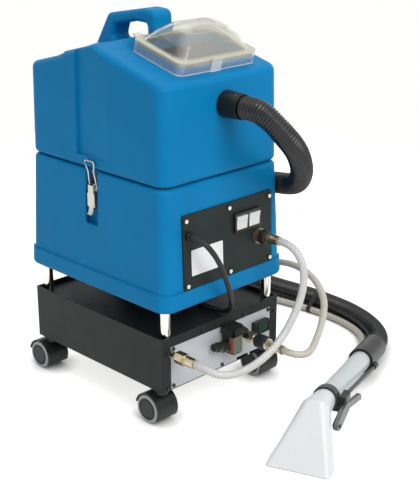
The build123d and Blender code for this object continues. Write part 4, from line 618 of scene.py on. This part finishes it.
def rib_material(pitch):
    """Dark hose plastic, with crests painted lighter as painted highlights and grooves left darker as
    painted shade, along the hose.
    """
    made = surface(
        "hose_dark", (0.002, 0.0025, 0.0024), 0.26, mottle=0.2, mottle_scale=60.0, grain=500.0, bump=0.08,
        edge=0.0002, Specular_IOR_Level=0.4,
    )
    tree, socket, base = base_color(made)
    along = place_parts(tree, "UV")["X"]
    phase = calc(tree, "DIVIDE", calc(tree, "SUBTRACT", along, PLAIN_END), pitch)
    off_crest = calc(tree, "ABSOLUTE", calc(tree, "SUBTRACT", calc(tree, "FRACT", phase), 0.5))
    # Crests painted lighter as painted highlights; the grooves stay darker as painted shade
    crest = spread(tree, off_crest, CREST_FULL, CREST_END, 1.0, 0.0)
    tree.links.new(blend_colors(tree, crest, base, rgba(CREST_PAINTED_HIGHLIGHT)), socket)
    return made


def ribbed_hose(name, route, radius):
    """Corrugated hose along a route, with whole ribs between its plain ends, and its line."""
    line = Line(route_line(route))
    ribbed = line.length - 2 * PLAIN_END
    count = round(ribbed / RIB_PITCH)
    pitch = ribbed / count
    stations = [(0.0, radius)]
    for rib in range(count):
        for share, drop in RIB_STEPS:
            stations.append((PLAIN_END + (rib + share) * pitch, radius - drop * RIB_DEPTH))
    stations.append((line.length, radius - RIB_DEPTH))
    return tube(name, line, stations, rib_material(pitch), sides=32), line


vacuum, vacuum_line = ribbed_hose("vacuum_tube", VACUUM_ROUTE, HOSE_R)

# Boot of the lead at its gland: distances along the lead, each with a radius
BOOT_STATIONS = [(0.0, 0.0068), (0.003, 0.0072), (0.006, 0.007), (0.024, 0.0053), (0.026, 0.0046)]
boot = tube("lead_boot", lead_line, BOOT_STATIONS, black_rubber)

# Strap that holds the spray hose to the vacuum hose on the floor
STRAP_Y = -0.028
STRAP_HALF = 0.005
STRAP_GAP = 0.0001
STRAP_T = 0.0004


def crossing(line, y):
    """Lowest place where a line crosses a depth."""
    places = [
        before.lerp(after, (y - before.y) / (after.y - before.y))
        for before, after in zip(line.points, line.points[1:])
        if min(before.y, after.y) <= y < max(before.y, after.y)
    ]
    return min(places, key=lambda place: place.z)


def belt(circles, grow, steps=64):
    """Points of a belt round circles, each given by its centre and radius."""
    points = []
    for step in range(steps):
        turn = tau * step / steps
        way = Vector((cos(turn), sin(turn)))
        centre, radius = max(circles, key=lambda circle: circle[0].dot(way) + circle[1])
        points.append(centre + way * (radius + grow))
    return points


def strap(name, finish):
    """Flat strap round both hoses, as a closed band with an inside, an outside and two edges."""
    held = [(crossing(vacuum_line, STRAP_Y).xz, HOSE_R), (crossing(spray_line, STRAP_Y).xz, SPRAY_R)]
    inner = belt(held, STRAP_GAP)
    outer = belt(held, STRAP_GAP + STRAP_T)
    front = STRAP_Y - STRAP_HALF
    back = STRAP_Y + STRAP_HALF
    rings = ((inner, front), (outer, front), (outer, back), (inner, back))
    vertices = [(point.x, y, point.y) for ring, y in rings for point in ring]
    around = len(inner)
    faces = []
    for band in range(len(rings)):
        low = band * around
        high = (band + 1) % len(rings) * around
        for index in range(around):
            after = (index + 1) % around
            faces.append((low + index, low + after, high + after, high + index))
    return piece(name, vertices, faces, finish, smooth=False)


strap("hose_strap", black_rubber)

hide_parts("link_hose")
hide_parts("spray_hose")
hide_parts("mains_lead", "mains_coil")
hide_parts("vacuum_hose")

# Control panel: the slope of its front, and the front's top left corner
PANEL_T = 0.003
panel_low, panel_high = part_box("control_panel")
panel_out = -Vector(joints["panel_sleeve_slide"]["axis"])
panel_up = Vector((0, panel_out.z, -panel_out.y))
panel_corner = Vector((panel_low.x, panel_high.y + panel_out.y * PANEL_T, panel_high.z))

# Blank label on the panel, in millimetres from the panel's corner
LABEL_W = 72.0
LABEL_H = 44.0
LABEL_INSET = 17.2
LABEL_DROP = 61.0
LABEL_CORNER = 2.0
LABEL_SEAT = 0.02
LABEL_FACE = 0.3


def panel_place(across, up, out):
    """Place over the control panel's front, measured in millimetres from its top left corner."""
    return panel_corner + (Vector((across, 0, 0)) + panel_up * up + panel_out * out) * MM


def rounded_outline(left, right, low, high, corner, steps=6):
    """Points round a rectangle with rounded corners."""
    points = []
    for x, z, start in (
        (right - corner, low + corner, -90), (right - corner, high - corner, 0),
        (left + corner, high - corner, 90), (left + corner, low + corner, 180),
    ):
        for step in range(steps + 1):
            turn = radians(start + 90 * step / steps)
            points.append((x + corner * cos(turn), z + corner * sin(turn)))
    return points


def label(name, finish):
    """Thin plate on the control panel, open at its back."""
    outline = rounded_outline(
        LABEL_INSET, LABEL_INSET + LABEL_W, -LABEL_DROP - LABEL_H, -LABEL_DROP, LABEL_CORNER,
    )
    count = len(outline)
    vertices = [panel_place(x, z, out) for out in (LABEL_SEAT, LABEL_FACE) for x, z in outline]
    faces = [tuple(range(count, 2 * count))]
    for index in range(count):
        after = (index + 1) % count
        faces.append((index, after, count + after, count + index))
    return piece(name, vertices, faces, finish, smooth=False)


label("rating_label", label_white)

# Camera: its tilt down and its turn from straight ahead, in degrees
CAMERA_PLACE = (-1.2364, -1.3769, 0.9162)
CAMERA_DOWN = 20.23
CAMERA_TURN = 44.9
camera_data = bpy.data.cameras.new("camera")
camera_data.lens = 79.57
camera_data.sensor_width = 36.0
camera_data.clip_end = 20.0
camera = bpy.data.objects.new("camera", camera_data)
camera.location = CAMERA_PLACE
camera.rotation_euler = (radians(90 - CAMERA_DOWN), 0, radians(-CAMERA_TURN))
scene.collection.objects.link(camera)
scene.camera = camera

# Floor and world: the floor's glow grows from the object outwards and is held back where things touch it, a
# painted contact shadow
PAPER_WHITE = (1.0, 1.0, 0.99)
FLOOR_GREY = (0.75, 0.75, 0.745)
FLOOR_HALF = 1.6
FLOOR_Z = -0.0005
GLOW_NEAR = 0.72
GLOW_START = 0.5
GLOW_END = 1.1
CONTACT_REACH = 0.035
CONTACT_SAMPLES = 8
CONTACT_POWER = 2.0
WORLD_LIGHT = 0.5


def background_rays(tree):
    """Mask of the rays that show the background: to the camera, off gloss and through clear plastic."""
    rays = put(tree, "ShaderNodeLightPath").outputs
    seen = calc(tree, "MAXIMUM", rays["Is Camera Ray"], rays["Is Glossy Ray"])
    return calc(tree, "MAXIMUM", seen, rays["Is Transmission Ray"])


def floor_material():
    """Matte floor that takes shadows, has a painted contact shadow near things, and glows white for what
    shows the background.
    """
    made = bpy.data.materials.new("floor")
    made.use_nodes = True
    tree = made.node_tree
    tree.nodes.clear()
    matte = put(tree, "ShaderNodeBsdfDiffuse", {"Color": rgba(FLOOR_GREY)})
    from_middle = put(tree, "ShaderNodeVectorMath", {0: shaded_place(tree)}, operation="LENGTH")
    fade = spread(tree, from_middle.outputs["Value"], GLOW_START, GLOW_END, GLOW_NEAR, 1.0)
    # Painted contact shadow: the glow is held back where things are near the floor
    near = put(tree, "ShaderNodeAmbientOcclusion", {"Distance": CONTACT_REACH}, samples=CONTACT_SAMPLES)
    painted_contact_shadow = calc(tree, "POWER", near.outputs["AO"], CONTACT_POWER)
    shine = calc(tree, "MULTIPLY", calc(tree, "MULTIPLY", background_rays(tree), fade), painted_contact_shadow)
    glow = put(tree, "ShaderNodeEmission", {"Color": rgba(PAPER_WHITE), "Strength": shine})
    both = put(tree, "ShaderNodeAddShader", {0: matte.outputs[0], 1: glow.outputs[0]})
    put(tree, "ShaderNodeOutputMaterial", {"Surface": both.outputs[0]})
    return made


floor_mesh = bpy.data.meshes.new("floor")
floor_corners = [(x * FLOOR_HALF, y * FLOOR_HALF, 0) for x, y in ((-1, -1), (1, -1), (1, 1), (-1, 1))]
floor_mesh.from_pydata(floor_corners, [], [(0, 1, 2, 3)])
floor_mesh.materials.append(floor_material())
floor = bpy.data.objects.new("floor", floor_mesh)
floor.location.z = FLOOR_Z
scene.collection.objects.link(floor)

world = bpy.data.worlds.new("world")
world.use_nodes = True
scene.world = world
sky = world.node_tree.nodes["Background"]
sky.inputs["Color"].default_value = rgba(PAPER_WHITE)
seen = background_rays(world.node_tree)
strength = calc(world.node_tree, "MULTIPLY_ADD", seen, 1 - WORLD_LIGHT, WORLD_LIGHT)
world.node_tree.links.new(strength, sky.inputs["Strength"])

# Lamps
LAMP_AIM = Vector((0.05, -0.05, 0.3))


def lamp(name, place, size, power):
    """Square area lamp aimed at the middle of the object."""
    data = bpy.data.lights.new(name, "AREA")
    data.size = size
    data.energy = power
    made = bpy.data.objects.new(name, data)
    made.location = place
    made.rotation_euler = (LAMP_AIM - Vector(place)).to_track_quat("-Z", "Y").to_euler()
    scene.collection.objects.link(made)


lamp("key", (-0.3, -2.4, 2.1), 1.6, 49.0)
lamp("fill", (-2.2, -0.6, 1.6), 1.8, 5.0)
lamp("top", (0.1, 0.3, 2.8), 2.2, 14.0)

scene.view_settings.view_transform = "Standard"
